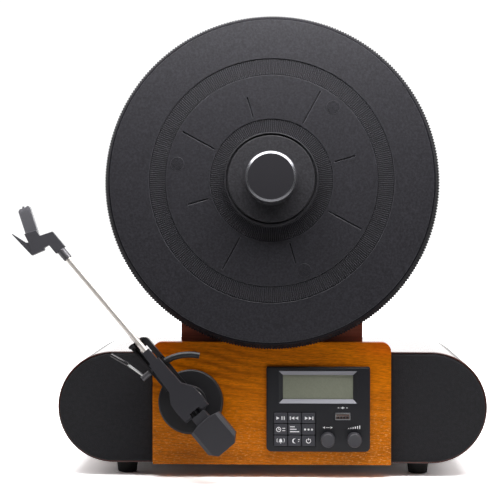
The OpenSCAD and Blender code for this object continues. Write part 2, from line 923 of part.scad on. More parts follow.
module aux_socket() {
    color([0.08, 0.08, 0.08]) difference() {
        socket_body(aux_x, socket_back_z, aux_body_w, aux_nose_r, nose_out);
        bar_y(aux_x, socket_back_z, back_panel_y + back_t + nose_out - aux_l, aux_l + 1, aux_r);
    }
}

module power_inlet() {
    color([0.08, 0.08, 0.08]) {
        difference() {
            socket_body(inlet_x, socket_back_z, inlet_body_w, inlet_nose_r, nose_out);
            bar_y(inlet_x, socket_back_z, back_panel_y + back_t + nose_out - inlet_l, inlet_l + 1, inlet_r);
        }
        bar_y(inlet_x, socket_back_z, back_panel_y + back_t - inlet_l, inlet_l - 1, inlet_pin_r);
    }
}

module main_board() {
    color([0.1, 0.35, 0.18]) {
        along_y(main_board_y, board_t) centred_box_2d(0, mid_z, main_board_w, main_board_h);
        board_chip(-0.35, -0.27, chip_w, chip_w / 2);
        board_chip(-0.15, -0.23, chip_w * 1.3, chip_w / 4);
        board_chip(0.17, -0.27, chip_w * 2, chip_w);
        board_chip(0.38, -0.27, chip_w * 0.9, chip_w * 0.9);
    }
}

// A part on the main board, placed by shares of the board's width and height
module board_chip(across, up, w, h) {
    along_y(main_board_y - h, h + eps)
        centred_box_2d(across * main_board_w, mid_z + up * main_board_h, w, chip_w * 0.9);
}

// Outline of the control panel or of its skirt
module control_outline(inset) {
    w = control_w - 2 * inset;
    h = control_h - 2 * inset;
    low_r = max(control_r - inset, 0.5);
    top_r = max(control_top_r - inset, 0.5);
    translate([control_x, control_mid_z]) {
        translate([-w / 2 + low_r, -h / 2]) square([w - 2 * low_r, h - top_r]);
        translate([-w / 2, -h / 2 + low_r]) square([w, h - low_r - top_r]);
        translate([-w / 2 + top_r, 0]) square([w - 2 * top_r, h / 2]);
        for (side = [-1, 1]) {
            translate([side * (w / 2 - low_r), -h / 2 + low_r]) circle(r = low_r);
            translate([side * (w / 2 - top_r), h / 2 - top_r]) circle(r = top_r);
        }
    }
}

// The sloping hole in front of the display
module window_cut() {
    grow = window_bevel;
    deep = window_depth;
    translate([window_x, control_y, window_z]) intersection() {
        translate([0, 0, -through / 2]) linear_extrude(through) polygon([
            [-window_w / 2 - grow, -eps], [window_w / 2 + grow, -eps],
            [window_w / 2, deep], [window_w / 2, through],
            [-window_w / 2, through], [-window_w / 2, deep]
        ]);
        translate([-through / 2, 0, 0]) rotate([90, 0, 90]) linear_extrude(through) polygon([
            [-eps, -window_h / 2 - grow], [deep, -window_h / 2], [through, -window_h / 2],
            [through, window_h / 2], [deep, window_h / 2], [-eps, window_h / 2 + grow]
        ]);
    }
}

module control_panel() {
    pocket_w = 3 * button_pitch_x - (button_pitch_x - button_w) + 2 * button_gap;
    pocket_h = 3 * button_pitch_z - (button_pitch_z - button_h) + 2 * button_gap;
    color([0.13, 0.125, 0.14]) difference() {
        union() {
            along_y(control_y, control_chamfer) control_outline(control_chamfer);
            along_y(control_y + control_chamfer, control_t - control_chamfer) control_outline(0);
            along_y(panel_y - eps, skirt_depth)
                centred_box_2d(control_x, control_mid_z, skirt_w, skirt_h);
        }
        along_y(panel_y, through)
            centred_box_2d(control_x, control_mid_z, skirt_w - 2 * control_wall, skirt_h - 2 * control_wall);
        window_cut();
        along_y(glass_y - glass_gap, through) centred_box_2d(
            window_x, window_z, glass_w + 2 * glass_gap, glass_h + 2 * glass_gap);
        along_y(control_y - 1, button_pocket + 1)
            centred_box_2d(button_x, button_z, pocket_w, pocket_h);
        for (i = [0:8]) along_y(control_y - 1, through)
            centred_box_2d(button_cx(i), button_cz(i), stem_w + 2 * button_gap, stem_h + 2 * button_gap);
        for (x = [tune_x, volume_x])
            bar_y(x, knob_z, control_y - 1, through, stem_d / 2 + bush_wall + 0.1);
        along_y(control_y - 1, through)
            centred_box_2d(socket_x, socket_z, socket_w + 0.4, socket_h + 0.4);
    }
}

module display_glass() {
    color([0.43, 0.435, 0.385]) along_y(glass_y, glass_t)
        centred_box_2d(window_x, window_z, glass_w, glass_h);
}

module display_module() {
    module_y = glass_y + glass_t + glass_gap;
    color([0.2, 0.45, 0.3]) {
        along_y(module_y, module_t) centred_box_2d(window_x, window_z, window_w + 2, window_h + 2);
        along_y(module_y + module_t - eps, board_t)
            centred_box_2d(window_x, window_z - 1, window_w + 12, window_h + 4);
    }
}

module button_board() {
    w = 3 * button_pitch_x;
    h = skirt_h - 2 * control_wall - 0.8 + 2 * button_dz;
    color([0.12, 0.4, 0.2]) {
        along_y(button_board_y, board_t) centred_box_2d(button_x, button_z, w, h);
        for (i = [0:8]) {
            along_y(switch_y + 1, button_board_y - switch_y - 1 + eps)
                centred_box_2d(button_cx(i), button_cz(i), switch_w, switch_w);
            bar_y(button_cx(i), button_cz(i), switch_y, 1 + eps, 1.5);
        }
        for (side = [-1, 1]) along_y(panel_y + 0.3, button_board_y - panel_y - 0.3 + eps)
            centred_box_2d(button_x + side * button_pitch_x / 2, button_z + h / 2 - 1.5, 2, 2);
    }
}

// Button i counts from the top left, along each row
function button_cx(i) = button_x + (i % 3 - 1) * button_pitch_x;
function button_cz(i) = button_z + (1 - floor(i / 3)) * button_pitch_z;

module button(i) {
    cap_y = control_y - button_proud;
    cap_back = pocket_y - button_travel - 0.3;
    stem_back = switch_y - button_travel - 0.3;
    color([0.21, 0.2, 0.225]) {
        along_y(cap_y, 0.4) centred_box_2d(button_cx(i), button_cz(i), button_w - 0.8, button_h - 0.8);
        along_y(cap_y + 0.4, cap_back - cap_y - 0.4)
            centred_box_2d(button_cx(i), button_cz(i), button_w, button_h);
        along_y(cap_back - eps, stem_back - cap_back)
            centred_box_2d(button_cx(i), button_cz(i), stem_w, stem_h);
    }
}

// The two controls behind the small knobs, each with a bush that carries a knob's stem
module rotary_controls() {
    body_y = panel_y + 1;
    color([0.5, 0.5, 0.52]) for (x = [tune_x, volume_x]) difference() {
        union() {
            along_y(body_y, 8) centred_box_2d(x, knob_z, 13, 10);
            bar_y(x, knob_z, control_y + 0.3, body_y - control_y, stem_d / 2 + bush_wall);
        }
        bar_y(x, knob_z, control_y - 1, control_t + 7, stem_d / 2 + run_gap);
    }
}

module knob(x) {
    knob_y = control_y - knob_gap - knob_l;
    color([0.26, 0.255, 0.275]) {
        translate([x, knob_y, knob_z]) rotate([-90, 0, 0]) rotate_extrude() polygon([
            [0, 0], [knob_d / 2 - 0.9, 0], [knob_d / 2 - 0.25, 0.7],
            [knob_d / 2, knob_l - 0.5], [knob_d / 2 - 0.4, knob_l], [0, knob_l]
        ]);
        bar_y(x, knob_z, knob_y + knob_l - eps, knob_gap + control_t + 5, stem_d / 2);
    }
}

module tune_knob() { knob(tune_x); }
module volume_knob() { knob(volume_x); }

module data_socket() {
    socket_y = control_y - socket_proud;
    color([0.7, 0.7, 0.72]) {
        difference() {
            along_y(socket_y, socket_l) centred_box_2d(socket_x, socket_z, socket_w, socket_h);
            along_y(socket_y - 1, socket_l) centred_box_2d(
                socket_x, socket_z, socket_w - 2 * socket_wall, socket_h - 2 * socket_wall);
        }
        along_y(socket_y + 1, socket_l - 1)
            centred_box_2d(socket_x, socket_z + 0.9, socket_w - 2.4, 1.6);
    }
}

module riser_housing() {
    bottom = floor_yd - 5;
    inner_bottom = floor_yd + riser_floor;
    color([0.28, 0.13, 0.09]) difference() {
        deck() translate([-riser_w / 2, bottom, riser_rear])
            cube([riser_w, riser_top - bottom, riser_d]);
        translate([-through, -through, top_z - through]) cube([2 * through, 2 * through, through]);
        deck() translate([-riser_w / 2 + riser_wall, inner_bottom, riser_rear - 1])
            cube([riser_w - 2 * riser_wall, riser_top - riser_wall - inner_bottom, riser_d - riser_wall + 1]);
        deck() translate([motor_x, motor_yd, riser_front - riser_wall - 1])
            cylinder(r = motor_ear_r + 2, h = riser_wall + 2);
        deck() translate([0, 0, riser_front - riser_wall - 1])
            cylinder(r = bush_r + fit_gap, h = riser_wall + 2);
        at_cover() screw_hole(cover_t);
        at_riser() screw_hole(cabinet_wall);
        at_plate() screw_hole(plate_t);
    }
}

module riser_cover() {
    bottom = floor_yd + 8;
    color([0.12, 0.12, 0.13]) difference() {
        deck() translate([-riser_w / 2, bottom, riser_rear - cover_t])
            cube([riser_w, riser_top - bottom, cover_t]);
        deck() for (i = [0:cover_vents - 1])
            translate([-vent_w / 2, cover_vent_y + vent_pitch * i, riser_rear - cover_t - 1])
                cube([vent_w, vent_h, cover_t + 2]);
        at_cover() screw_hole(cover_t);
    }
}

module deck_plate() {
    color([0.1, 0.1, 0.11]) difference() {
        deck() difference() {
            translate([-plate_w / 2, -plate_low, riser_front])
                cube([plate_w, plate_low + plate_high, plate_t]);
            translate([0, 0, riser_front - 1]) cylinder(r = bush_r + fit_gap, h = plate_t + 2);
            translate([motor_x, motor_yd, riser_front - 1]) {
                cylinder(r = pulley_flange_r + 1.5, h = plate_t + 2);
                for (a = [0:120:240]) rotate(a) translate([ear_hole_r, 0, 0])
                    cylinder(r = grommet_neck_r + fit_gap, h = plate_t + 2);
            }
        }
        at_plate() screw_hole(plate_t);
    }
}

module bearing_bush() {
    color([0.72, 0.55, 0.3]) deck() difference() {
        union() {
            translate([0, 0, riser_front - bush_l]) cylinder(r = bush_r, h = bush_l + plate_t);
            translate([0, 0, plate_front]) cylinder(r = bush_flange_r, h = bush_flange_t);
        }
        translate([0, 0, riser_front - bush_l - 1])
            cylinder(r = spindle_r + run_gap, h = bush_l + plate_t + bush_flange_t + 2);
    }
}

module spindle() {
    color([0.75, 0.75, 0.77]) deck() rotate_extrude() polygon([
        [0, spindle_back], [spindle_r, spindle_back], [spindle_r, hub_back], [hub_r, hub_back],
        [hub_r, -face_t], [spindle_r, -face_t], [spindle_r, -ring_depth],
        [spindle_tip_r, -ring_depth], [spindle_tip_r, spindle_tip_l - 2],
        [spindle_tip_r - 1.6, spindle_tip_l], [0, spindle_tip_l]
    ]);
}

module platter() {
    color([0.21, 0.21, 0.225]) deck() difference() {
        rotate_extrude($fn = 180) polygon([
            [spindle_r + fit_gap, -face_t], [drive_in - fit_gap, -face_t], [drive_in - fit_gap, drive_seat],
            [drive_r + fit_gap, drive_seat], [drive_r + fit_gap, -face_t], [face_r, -face_t],
            [face_r, 0], [outer_ring_out, 0], [outer_ring_out, -ring_depth],
            [outer_ring_in, -ring_depth], [outer_ring_in, 0], [inner_ring_out, 0],
            [inner_ring_out, -ring_depth], [inner_ring_in, -ring_depth], [inner_ring_in, 0],
            [spindle_r + fit_gap, 0]
        ]);
        for (i = [0:3]) {
            rotate(slot_angle + 90 * i) slot_cut(slot_long);
            rotate(slot_angle - 45 + 90 * i) slot_cut(slot_short);
        }
        for (i = [0:2]) rotate(plug_angle + 120 * i) translate([plug_r, 0, -plug_depth])
            cylinder(r = plug_d / 2 + plug_gap, h = plug_depth + 1);
    }
}

// Toothed rim with a lip behind the platter's disc
module platter_rim() {
    rim_in = platter_r - rim_wall;
    color([0.2, 0.2, 0.21]) deck() rotate_extrude($fn = 180) polygon([
        [rim_in, -rim_depth], [platter_r, -rim_depth], [platter_r, -rim_depth + rim_edge],
        [face_r + 1.6, -1], [face_r + fit_gap, 0], [face_r + fit_gap, -face_t],
        [rim_in - rim_lip, -face_t], [rim_in - rim_lip, -face_t - rim_lip], [rim_in, -face_t - rim_lip]
    ]);
}

// Ring that the belt runs on, its front edge in a groove of the platter's disc
module drive_ring() {
    color([0.24, 0.24, 0.25]) deck() translate([0, 0, -drive_depth]) difference() {
        cylinder(r = drive_r, h = drive_depth + drive_seat, $fn = 180);
        translate([0, 0, -1]) cylinder(r = drive_in, h = drive_depth + 2, $fn = 180);
    }
}

module slot_cut(outer) {
    translate([slot_in, -slot_w / 2, -ring_depth]) cube([outer - slot_in, slot_w, ring_depth + 1]);
}

module platter_plugs() {
    color([0.2, 0.2, 0.21]) deck() for (i = [0:2]) rotate(plug_angle + 120 * i)
        translate([plug_r, 0, -plug_depth]) cylinder(r = plug_d / 2, h = plug_depth + plug_proud);
}

module record_clamp() {
    groove_r = clamp_r - 1.4;
    knob_r = clamp_knob_d / 2;
    bore_r = spindle_tip_r + run_gap;
    color([0.22, 0.22, 0.235]) deck() rotate_extrude($fn = 144) polygon([
        [bore_r, clamp_gap], [clamp_r, clamp_gap], [clamp_r, clamp_flange - 2],
        [clamp_r - 0.6, clamp_flange - 0.6], [groove_r, clamp_flange - 0.4],
        [groove_r, clamp_flange - 1.6], [groove_r - 1.1, clamp_flange - 1.6],
        [groove_r - 1.1, clamp_flange], [knob_r + 1.5, clamp_flange + 0.6],
        [knob_r + 0.3, clamp_flange + 2], [knob_r, clamp_h - 1.8], [knob_r - 1.8, clamp_h],
        [0, clamp_h], [0, spindle_tip_l + 1], [bore_r, spindle_tip_l + 1]
    ]);
}

module motor() {
    color([0.6, 0.6, 0.62]) deck() translate([motor_x, motor_yd, 0]) difference() {
        union() {
            translate([0, 0, motor_front - motor_l]) cylinder(r = motor_d / 2, h = motor_l);
            translate([0, 0, motor_front - motor_ear_t]) cylinder(r = motor_ear_r, h = motor_ear_t);
        }
        for (a = [0:120:240]) rotate(a) translate([ear_hole_r, 0, motor_front - motor_ear_t - 1])
            cylinder(r = grommet_hole_r, h = motor_ear_t + 2);
        translate([0, 0, motor_front - motor_bore_l])
            cylinder(r = motor_shaft_r + run_gap, h = motor_bore_l + 1);
    }
}

// Rubber mounts between the motor's ears and the deck plate
module motor_grommets() {
    ear_back = motor_front - motor_ear_t;
    color([0.15, 0.15, 0.16]) deck() translate([motor_x, motor_yd, 0])
        for (a = [0:120:240]) rotate(a) translate([ear_hole_r, 0, 0]) rotate_extrude() polygon([
            [0, ear_back], [grommet_hole_r - fit_gap, ear_back],
            [grommet_hole_r - fit_gap, motor_front], [grommet_r, motor_front],
            [grommet_r, riser_front], [grommet_neck_r, riser_front],
            [grommet_neck_r, plate_front], [grommet_r, plate_front],
            [grommet_r, plate_front + 1], [0, plate_front + 1]
        ]);
}

// The pulley and the motor's shaft that carries it
module motor_pulley() {
    low = belt_z + belt_w / 2 - pulley_l / 2;
    shaft_low = motor_front - motor_bore_l + 1;
    color([0.85, 0.83, 0.78]) deck() translate([motor_x, motor_yd, 0]) rotate_extrude()
        polygon([
            [0, shaft_low], [motor_shaft_r, shaft_low], [motor_shaft_r, low],
            [pulley_flange_r, low], [pulley_flange_r, low + pulley_flange],
            [pulley_r, low + pulley_flange], [pulley_r, low + pulley_l - pulley_flange],
            [pulley_flange_r, low + pulley_l - pulley_flange], [pulley_flange_r, low + pulley_l],
            [0, low + pulley_l]
        ]);
}

// Outline of a belt round the drive ring and the pulley, grown by a distance
function belt_line(grow) =
    let (big = drive_r + grow, small = pulley_r + grow)
    let (turn = asin((big - small) / motor_reach), steps = 60)
    concat(
        [for (i = [0:steps]) let (a = 90 - turn + i * (180 + 2 * turn) / steps)
            [big * cos(a), big * sin(a)]],
        [for (i = [0:12]) let (a = -90 + turn + i * (180 - 2 * turn) / 12)
            [motor_reach + small * cos(a), small * sin(a)]]
    );

module drive_belt() {
    color([0.08, 0.08, 0.08]) deck() rotate(motor_dir) translate([0, 0, belt_z])
        linear_extrude(belt_w) difference() {
            polygon(belt_line(belt_gap + belt_t));
            polygon(belt_line(belt_gap));
        }
}

module arm_base() {
    color([0.135, 0.13, 0.14]) difference() {
        arm() {
            translate([0, 0, -base_deep]) cylinder(r = base_d / 2, h = base_deep - base_top - base_edge);
            translate([0, 0, -base_top - base_edge])
                cylinder(r1 = base_d / 2, r2 = base_d / 2 - base_edge, h = base_edge);
            translate([0, 0, -base_top - eps]) cylinder(r = boss_r, h = base_top + boss_top);
        }
        translate([-through, panel_y, -through]) cube([2 * through, through, 4 * through]);
        arm() translate([0, 0, -base_deep]) cylinder(r = arm_bush_r + fit_gap, h = 2 * base_deep);
        at_arm() screw_hole(panel_t - 3);
    }
}

module arm_bush() {
    color([0.72, 0.55, 0.3]) arm() difference() {
        union() {
            translate([0, 0, boss_top - arm_bush_l]) cylinder(r = arm_bush_r, h = arm_bush_l);
            translate([0, 0, boss_top]) cylinder(r = arm_bush_flange_r, h = arm_bush_flange_t);
        }
        translate([0, 0, -base_deep]) cylinder(r = yoke_shaft_r + run_gap, h = 2 * base_deep);
    }
}

// The fixed rest beside the arm, with a fork under the tube and the cue lever's bearings
module arm_rest() {
    fork_in = fork_u - saddle_t / 2;
    fork_out = fork_u + saddle_t / 2;
    post_edge = post_r + post_wall;
    color([0.12, 0.12, 0.13]) arm() difference() {
        union() {
            difference() {
                slab(rest_start, fork_out, rest_left, rest_right, rest_low, rest_floor);
                translate([0, 0, rest_low - 1]) cylinder(r = boss_r + rest_gap, h = rest_t + 2);
                slab(rest_slot_in, rest_slot_out, -rest_slot_hw, rest_slot_hw, rest_low - 1, rest_floor + 1);
            }
            slab(rail_start, fork_out, rest_left, rest_left + rail_w, rest_low, rest_floor + rail_h);
            slab(rib_start, fork_out, rest_right - rib_w, rest_right, rest_low, rest_floor + rib_h);
            slab(post_u - post_edge, post_u + post_edge, 0, post_v + post_edge, rest_low, rest_floor);
            slab(cue_u - lug_hw, cue_u + lug_hw, rest_left, rest_left + rail_w, rest_floor - eps, cue_z + lug_hw);
            slab(cue_u - lug_hw, cue_u + lug_hw, lug_from, lug_from + rail_w, rest_floor - eps, cue_z + lug_hw);
            slab(fork_in, fork_out, rest_left, rest_right, rest_low, saddle_z);
            slab(fork_in - finger_l, fork_out, finger_from, finger_to, rest_floor - eps, finger_z);
            translate([post_u, post_v, rest_floor - eps]) cylinder(r = post_edge, h = post_boss_h);
        }
        translate([cue_u, 0, cue_z]) bar_v(rest_left - 1, 0, cue_shaft_r + run_gap);
        translate([post_u, post_v, rest_low - 1]) cylinder(r = post_r + run_gap, h = base_deep);
        difference() {
            slab(fork_out - rest_corner, fork_out + 1, rest_right - rest_corner, rest_right + 1,
                rest_low - 1, saddle_z + 1);
            translate([fork_out - rest_corner, rest_right - rest_corner, rest_low - 2])
                cylinder(r = rest_corner, h = saddle_z - rest_low + 4);
        }
    }
}

module arm_yoke() {
    foot_z = boss_top + arm_bush_flange_t + yoke_gap;
    color([0.3, 0.3, 0.32]) arm() difference() {
        union() {
            translate([0, 0, boss_top - arm_bush_l + 1])
                cylinder(r = yoke_shaft_r, h = foot_z - boss_top + arm_bush_l);
            translate([0, 0, foot_z]) cylinder(r = yoke_foot_r, h = yoke_foot_t);
            slab(-yoke_web, yoke_web, -yoke_hw, yoke_hw, foot_z + yoke_foot_t - 1, arm_z);
            translate([0, 0, arm_z]) bar_v(-yoke_hw, yoke_hw, yoke_barrel_r);
        }
        translate([0, 0, arm_z]) bar_v(-through, through, pivot_r + run_gap);
    }
}

module pivot_screws() {
    color([0.75, 0.75, 0.77]) arm() translate([0, 0, arm_z]) {
        bar_v(-housing_hw, -pivot_in, pivot_r);
        bar_v(pivot_in, housing_hw, pivot_r);
    }
}

// Outline of the housing and its neck, seen along the deck's normal
module housing_plan() {
    half = [
        [neck_end, neck_tip_hw], [neck_step, neck_tip_hw], [neck_step, neck_end_hw],
        [neck_start, neck_hw], [shoulder_u, housing_hw - shoulder_in], [0, housing_hw],
        [housing_rear, housing_hw - shoulder_in], [housing_rear, notch_hw + 0.5], [notch_u, notch_hw]
    ];
    last = len(half) - 1;
    polygon(concat(half, [for (i = [0:last]) [half[last - i][0], -half[last - i][1]]]));
}

module arm_housing() {
    inner = housing_hw - housing_wall;
    color([0.19, 0.19, 0.21]) arm() {
        difference() {
            intersection() {
                linear_extrude(housing_high + 1) housing_plan();
                translate([0, through, 0]) rotate([90, 0, 0]) linear_extrude(2 * through) polygon([
                    [housing_rear, housing_low], [chin_u, housing_low], [neck_start + 3, neck_low],
                    [neck_end, neck_low], [neck_end, neck_tip_high], [neck_start, housing_high],
                    [housing_rear + housing_edge, housing_high], [housing_rear, housing_high - housing_edge]
                ]);
            }
            slab(notch_u + 1.5, shoulder_u, -inner, inner, housing_low - 1, housing_high - housing_roof);
            translate([0, 0, arm_z]) bar_u(0, neck_end + 1, lead_hole_r);
            translate([0, 0, arm_z]) bar_u(tube_start, neck_end + 1, tube_d / 2 + fit_gap);
            translate([0, 0, arm_z]) bar_v(-through, through, pivot_r + fit_gap);
        }
        translate([0, 0, arm_z]) bar_u(stem_end, notch_u + 0.5, stem_rod_d / 2);
        translate([spring_u, 0, spring_z]) bar_v(-inner - eps, inner + eps, spring_post_r);
    }
}

module arm_tube() {
    color([0.8, 0.79, 0.8]) arm() translate([0, 0, arm_z]) difference() {
        bar_u(tube_start, tube_in, tube_d / 2);
        bar_u(tube_start - 1, tube_in + 1, tube_d / 2 - 0.6);
    }
}

module arm_collar() {
    color([0.5, 0.5, 0.52]) arm() translate([0, 0, arm_z]) difference() {
        bar_u(tube_end, head_start - 0.1, collar_d / 2);
        bar_u(tube_end - 1, head_start + 1, tube_d / 2 + fit_gap);
    }
}

module counterweight() {
    color([0.23, 0.23, 0.245]) arm() difference() {
        intersection() {
            translate([0, 0, arm_z - weight_t / 2]) linear_extrude(weight_t) polygon([
                [weight_front, -weight_neck_hw], [weight_front, weight_neck_hw],
                [weight_step, weight_neck_hw], [weight_step - 2, weight_hw],
                [weight_rear + weight_chamfer, weight_hw], [weight_rear, weight_hw - weight_chamfer],
                [weight_rear, -weight_hw + weight_chamfer], [weight_rear + weight_chamfer, -weight_hw],
                [weight_step - 2, -weight_hw], [weight_step, -weight_neck_hw]
            ]);
            translate([0, 0, arm_z]) rotate([0, -90, 0]) linear_extrude(through) polygon([
                [-weight_t / 2, -weight_hw + 3], [-weight_t / 2 + 3, -weight_hw],
                [weight_t / 2 - 3, -weight_hw], [weight_t / 2, -weight_hw + 3],
                [weight_t / 2, weight_hw - 3], [weight_t / 2 - 3, weight_hw],
                [-weight_t / 2 + 3, weight_hw], [-weight_t / 2, weight_hw - 3]
            ]);
        }
        translate([0, 0, arm_z]) bar_u(stem_end - 1, weight_front + 1, stem_rod_d / 2 + fit_gap);
        slab(weight_step, 0, -through, through, arm_z + weight_neck_up, through);
        slab(weight_step, 0, -through, through, -through, arm_z - weight_neck_up);
    }
}

// Places what follows at the rear of the guard, with w along the cartridge
module at_cartridge() {
    arm() translate([guard_back, guard_side, 0]) rotate([0, 0, offset_angle]) children();
}

module headshell() {
    du = guard_w / 2 * sin(offset_angle);
    dv = guard_w / 2 * cos(offset_angle);
    color([0.3, 0.3, 0.32]) arm() difference() {
        union() {
            translate([0, 0, head_low]) linear_extrude(head_high - head_low) polygon([
                [head_start, -head_hw], [head_start, head_hw], [head_start + head_l, head_hw],
                [head_start + head_bend_u, -head_bend_v],
                [guard_back - du, guard_side + dv], [guard_back + du, guard_side - dv],
                [heel_u + heel_w, heel_v + heel_w / 2], [heel_u, heel_v],
                [heel_u - toe_l, heel_v + toe_w], [heel_u - toe_l / 2, heel_v + toe_w + 1.4],
                [heel_u - toe_l * 0.75, -head_hw]
            ]);
            translate([0, 0, head_high - blade_t - 0.4]) linear_extrude(blade_t) polygon([
                [heel_u, heel_v], [heel_u + 1.2, heel_v + 1.9], [heel_u + heel_w, heel_v + heel_w * 0.6],
                [heel_u + heel_w + 2.2, heel_v + blade_w], [heel_u + blade_l, heel_v - 0.9],
                [heel_u + blade_l - 0.4, heel_v - 1.5]
            ]);
        }
        translate([0, 0, arm_z]) bar_u(head_start - 1, tube_in + 0.5, tube_d / 2 + fit_gap);
    }
}

module cartridge() {
    color([0.16, 0.16, 0.17]) at_cartridge() {
        slab(-cartridge_l, -0.2, -guard_w / 2 + 0.1, guard_w / 2 - 0.1, nose_low, head_low - 0.02);
    }
}

// Replaceable stylus: a nose that the guard slips over, a cantilever and a tip
module stylus() {
    color([0.45, 0.1, 0.1]) at_cartridge() {
        slab(-0.2, nose_l, -nose_hw, nose_hw, nose_low, nose_high);
        translate([nose_l - eps, 0, nose_low + 1]) rotate([0, 90, 0])
            cylinder(r = stylus_d / 2, h = stylus_w - nose_l + 0.4);
        translate([stylus_w, 0, tip_z]) cylinder(r1 = 0.15, r2 = stylus_d / 2, h = nose_low + 1 - tip_z);
    }
}

module stylus_guard() {
    hw = guard_w / 2;
    color([0.46, 0.46, 0.48]) at_cartridge() difference() {
        translate([0, 0, guard_low]) linear_extrude(guard_high - guard_low) polygon([
            [0.1, -hw], [0.1, hw], [guard_l - 1.6, hw], [guard_l, hw - 1.4], [guard_l - 1, 1.2],
            [guard_l + 0.6, 0.8], [guard_l + 0.6, -0.8], [guard_l - 1, -1.2], [guard_l - 0.8, -hw + 1.8],
            [guard_l - 2.6, -hw]
        ]);
        slab(-1, guard_l - 3.6, -hw + guard_wall, hw - guard_wall,
            guard_low + guard_wall, guard_high - guard_wall);
        slab(-1, guard_l - 2, -1.2, 1.2, guard_low + guard_wall, nose_low + 2.4);
    }
}

// Coil on its post in the housing, which presses the stylus onto the record
module tracking_spring() {
    color([0.7, 0.7, 0.72]) arm() translate([spring_u, 0, spring_z])
        coil(8, spring_post_r + 0.1 + spring_wire / 2, spring_wire, -4);
}

cue_bend = [58, -19.7];
cue_tip = [75, -26];
cue_root = [cue_u, -15.6];
rod_end_r = rod_d / 2 - 0.15;

// A round bar in the plane of the deck from one point to another
module link(a, b, r) {
    length = norm(b - a);
    translate([a[0], a[1], cue_z]) rotate([0, 0, atan2(b[1] - a[1], b[0] - a[0])])
        rotate([0, 90, 0]) cylinder(r = r, h = length);
}

module cue_lever() {
    color([0.8, 0.8, 0.81]) arm() {
        translate([cue_u, 0, cue_z]) {
            bar_v(cue_start, rest_left - 0.3, barrel_d / 2);
            bar_v(rest_left - 0.3 - eps, cue_end, cue_shaft_r);
            translate([cam_offset * cos(cam_lean), 0, cam_offset * sin(cam_lean)])
                bar_v(cam_back, cue_end, cam_r);
        }
        link(cue_root, cue_bend, rod_d / 2);
        link(cue_bend - 0.08 * (cue_tip - cue_bend), cue_bend + 0.4 * (cue_tip - cue_bend), rod_end_r);
    }
}

module cue_grip() {
    color([0.1, 0.1, 0.1]) arm() difference() {
        link(cue_bend + 0.06 * (cue_tip - cue_bend), cue_tip, grip_d / 2);
        link(cue_bend, cue_bend + 0.41 * (cue_tip - cue_bend), rod_end_r + fit_gap);
    }
}

module cue_lifter() {
    color([0.14, 0.14, 0.15]) {
        deck() translate([arm_x, arm_yd, lifter_z]) rotate(lifter_from)
            rotate_extrude(angle = lifter_to - lifter_from) translate([lifter_r, 0]) circle(d = lifter_d);
        arm() {
            translate([post_u, post_v, post_low]) cylinder(r = post_r, h = lifter_z - post_low);
            slab(cue_u - 2.5, cue_u + 3, cam_back, post_v, tab_z, tab_z + tab_t);
        }
    }
}

// A coil of round wire about v, as one swept tube
module coil(turns, r, wire, v0) {
    sides = 6;
    rings = 8 * turns;
    pitch = wire + 0.5;
    function at(i) = let (a = 360 * turns * i / rings) [r * cos(a), v0 + pitch * turns * i / rings, r * sin(a)];
    function across(i, s) = let (a = 360 * turns * i / rings, b = 360 * s / sides)
        [wire / 2 * cos(b) * cos(a), wire / 2 * sin(b), wire / 2 * cos(b) * sin(a)];
    points = [for (i = [0:rings]) for (s = [0:sides - 1]) at(i) + across(i, s)];
    walls = [for (i = [0:rings - 1]) for (s = [0:sides - 1]) let (t = (s + 1) % sides)
        each [[i * sides + s, i * sides + t, (i + 1) * sides + s],
              [i * sides + t, (i + 1) * sides + t, (i + 1) * sides + s]]];
    first = [for (s = [1:sides - 2]) [0, s + 1, s]];
    last = [for (s = [1:sides - 2]) [rings * sides, rings * sides + s, rings * sides + s + 1]];
    middles = [for (i = [0:rings]) at(i)];
    echo(least_gap_of_coil = min([for (i = [0:rings]) for (j = [i + rings / turns / 2:1:rings])
        norm(middles[i] - middles[j]) - wire]));
    polyhedron(points, concat(walls, first, last));
}

cabinet_shell();
feet();
case_screws();
baffle();
speakers();
grilles();
front_panel();
back_panel();
line_out_sockets();
aux_socket();
power_inlet();
main_board();
control_panel();
display_glass();
display_module();
button_board();
button(0);  // button_1
button(1);  // button_2
button(2);  // button_3
button(3);  // button_4
button(4);  // button_5
button(5);  // button_6
button(6);  // button_7
button(7);  // button_8
button(8);  // button_9
rotary_controls();
tune_knob();
volume_knob();
data_socket();
riser_housing();
riser_cover();
deck_plate();
bearing_bush();
spindle();
platter();
platter_rim();
drive_ring();
platter_plugs();
record_clamp();
motor();
motor_grommets();
motor_pulley();
drive_belt();
arm_base();
arm_bush();
arm_rest();
arm_yoke();
pivot_screws();
arm_housing();
arm_tube();
arm_collar();
counterweight();
headshell();
cartridge();
stylus();
stylus_guard();
tracking_spring();
cue_lever();
cue_grip();
cue_lifter();
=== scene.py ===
"""The vertical record player's looks: finishes, fine shapes, light and camera."""
import math

import bmesh
import bpy
from mathutils import Matrix, Vector


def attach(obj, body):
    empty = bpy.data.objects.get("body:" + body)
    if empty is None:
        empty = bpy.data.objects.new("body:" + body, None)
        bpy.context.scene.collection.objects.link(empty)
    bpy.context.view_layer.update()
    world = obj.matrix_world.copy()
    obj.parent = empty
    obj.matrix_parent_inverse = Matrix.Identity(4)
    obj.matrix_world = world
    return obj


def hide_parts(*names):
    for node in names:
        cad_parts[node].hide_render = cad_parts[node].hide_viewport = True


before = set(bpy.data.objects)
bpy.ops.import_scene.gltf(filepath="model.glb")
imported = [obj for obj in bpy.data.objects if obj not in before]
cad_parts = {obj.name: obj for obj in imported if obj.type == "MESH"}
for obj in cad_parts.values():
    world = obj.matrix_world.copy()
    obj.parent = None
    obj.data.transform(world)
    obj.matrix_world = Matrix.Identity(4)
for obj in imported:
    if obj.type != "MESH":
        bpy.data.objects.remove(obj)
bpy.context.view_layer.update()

# Frames, in millimetres: the row's own, the leaning deck's, and the tonearm's, with u along the arm
LEAN = 4.5
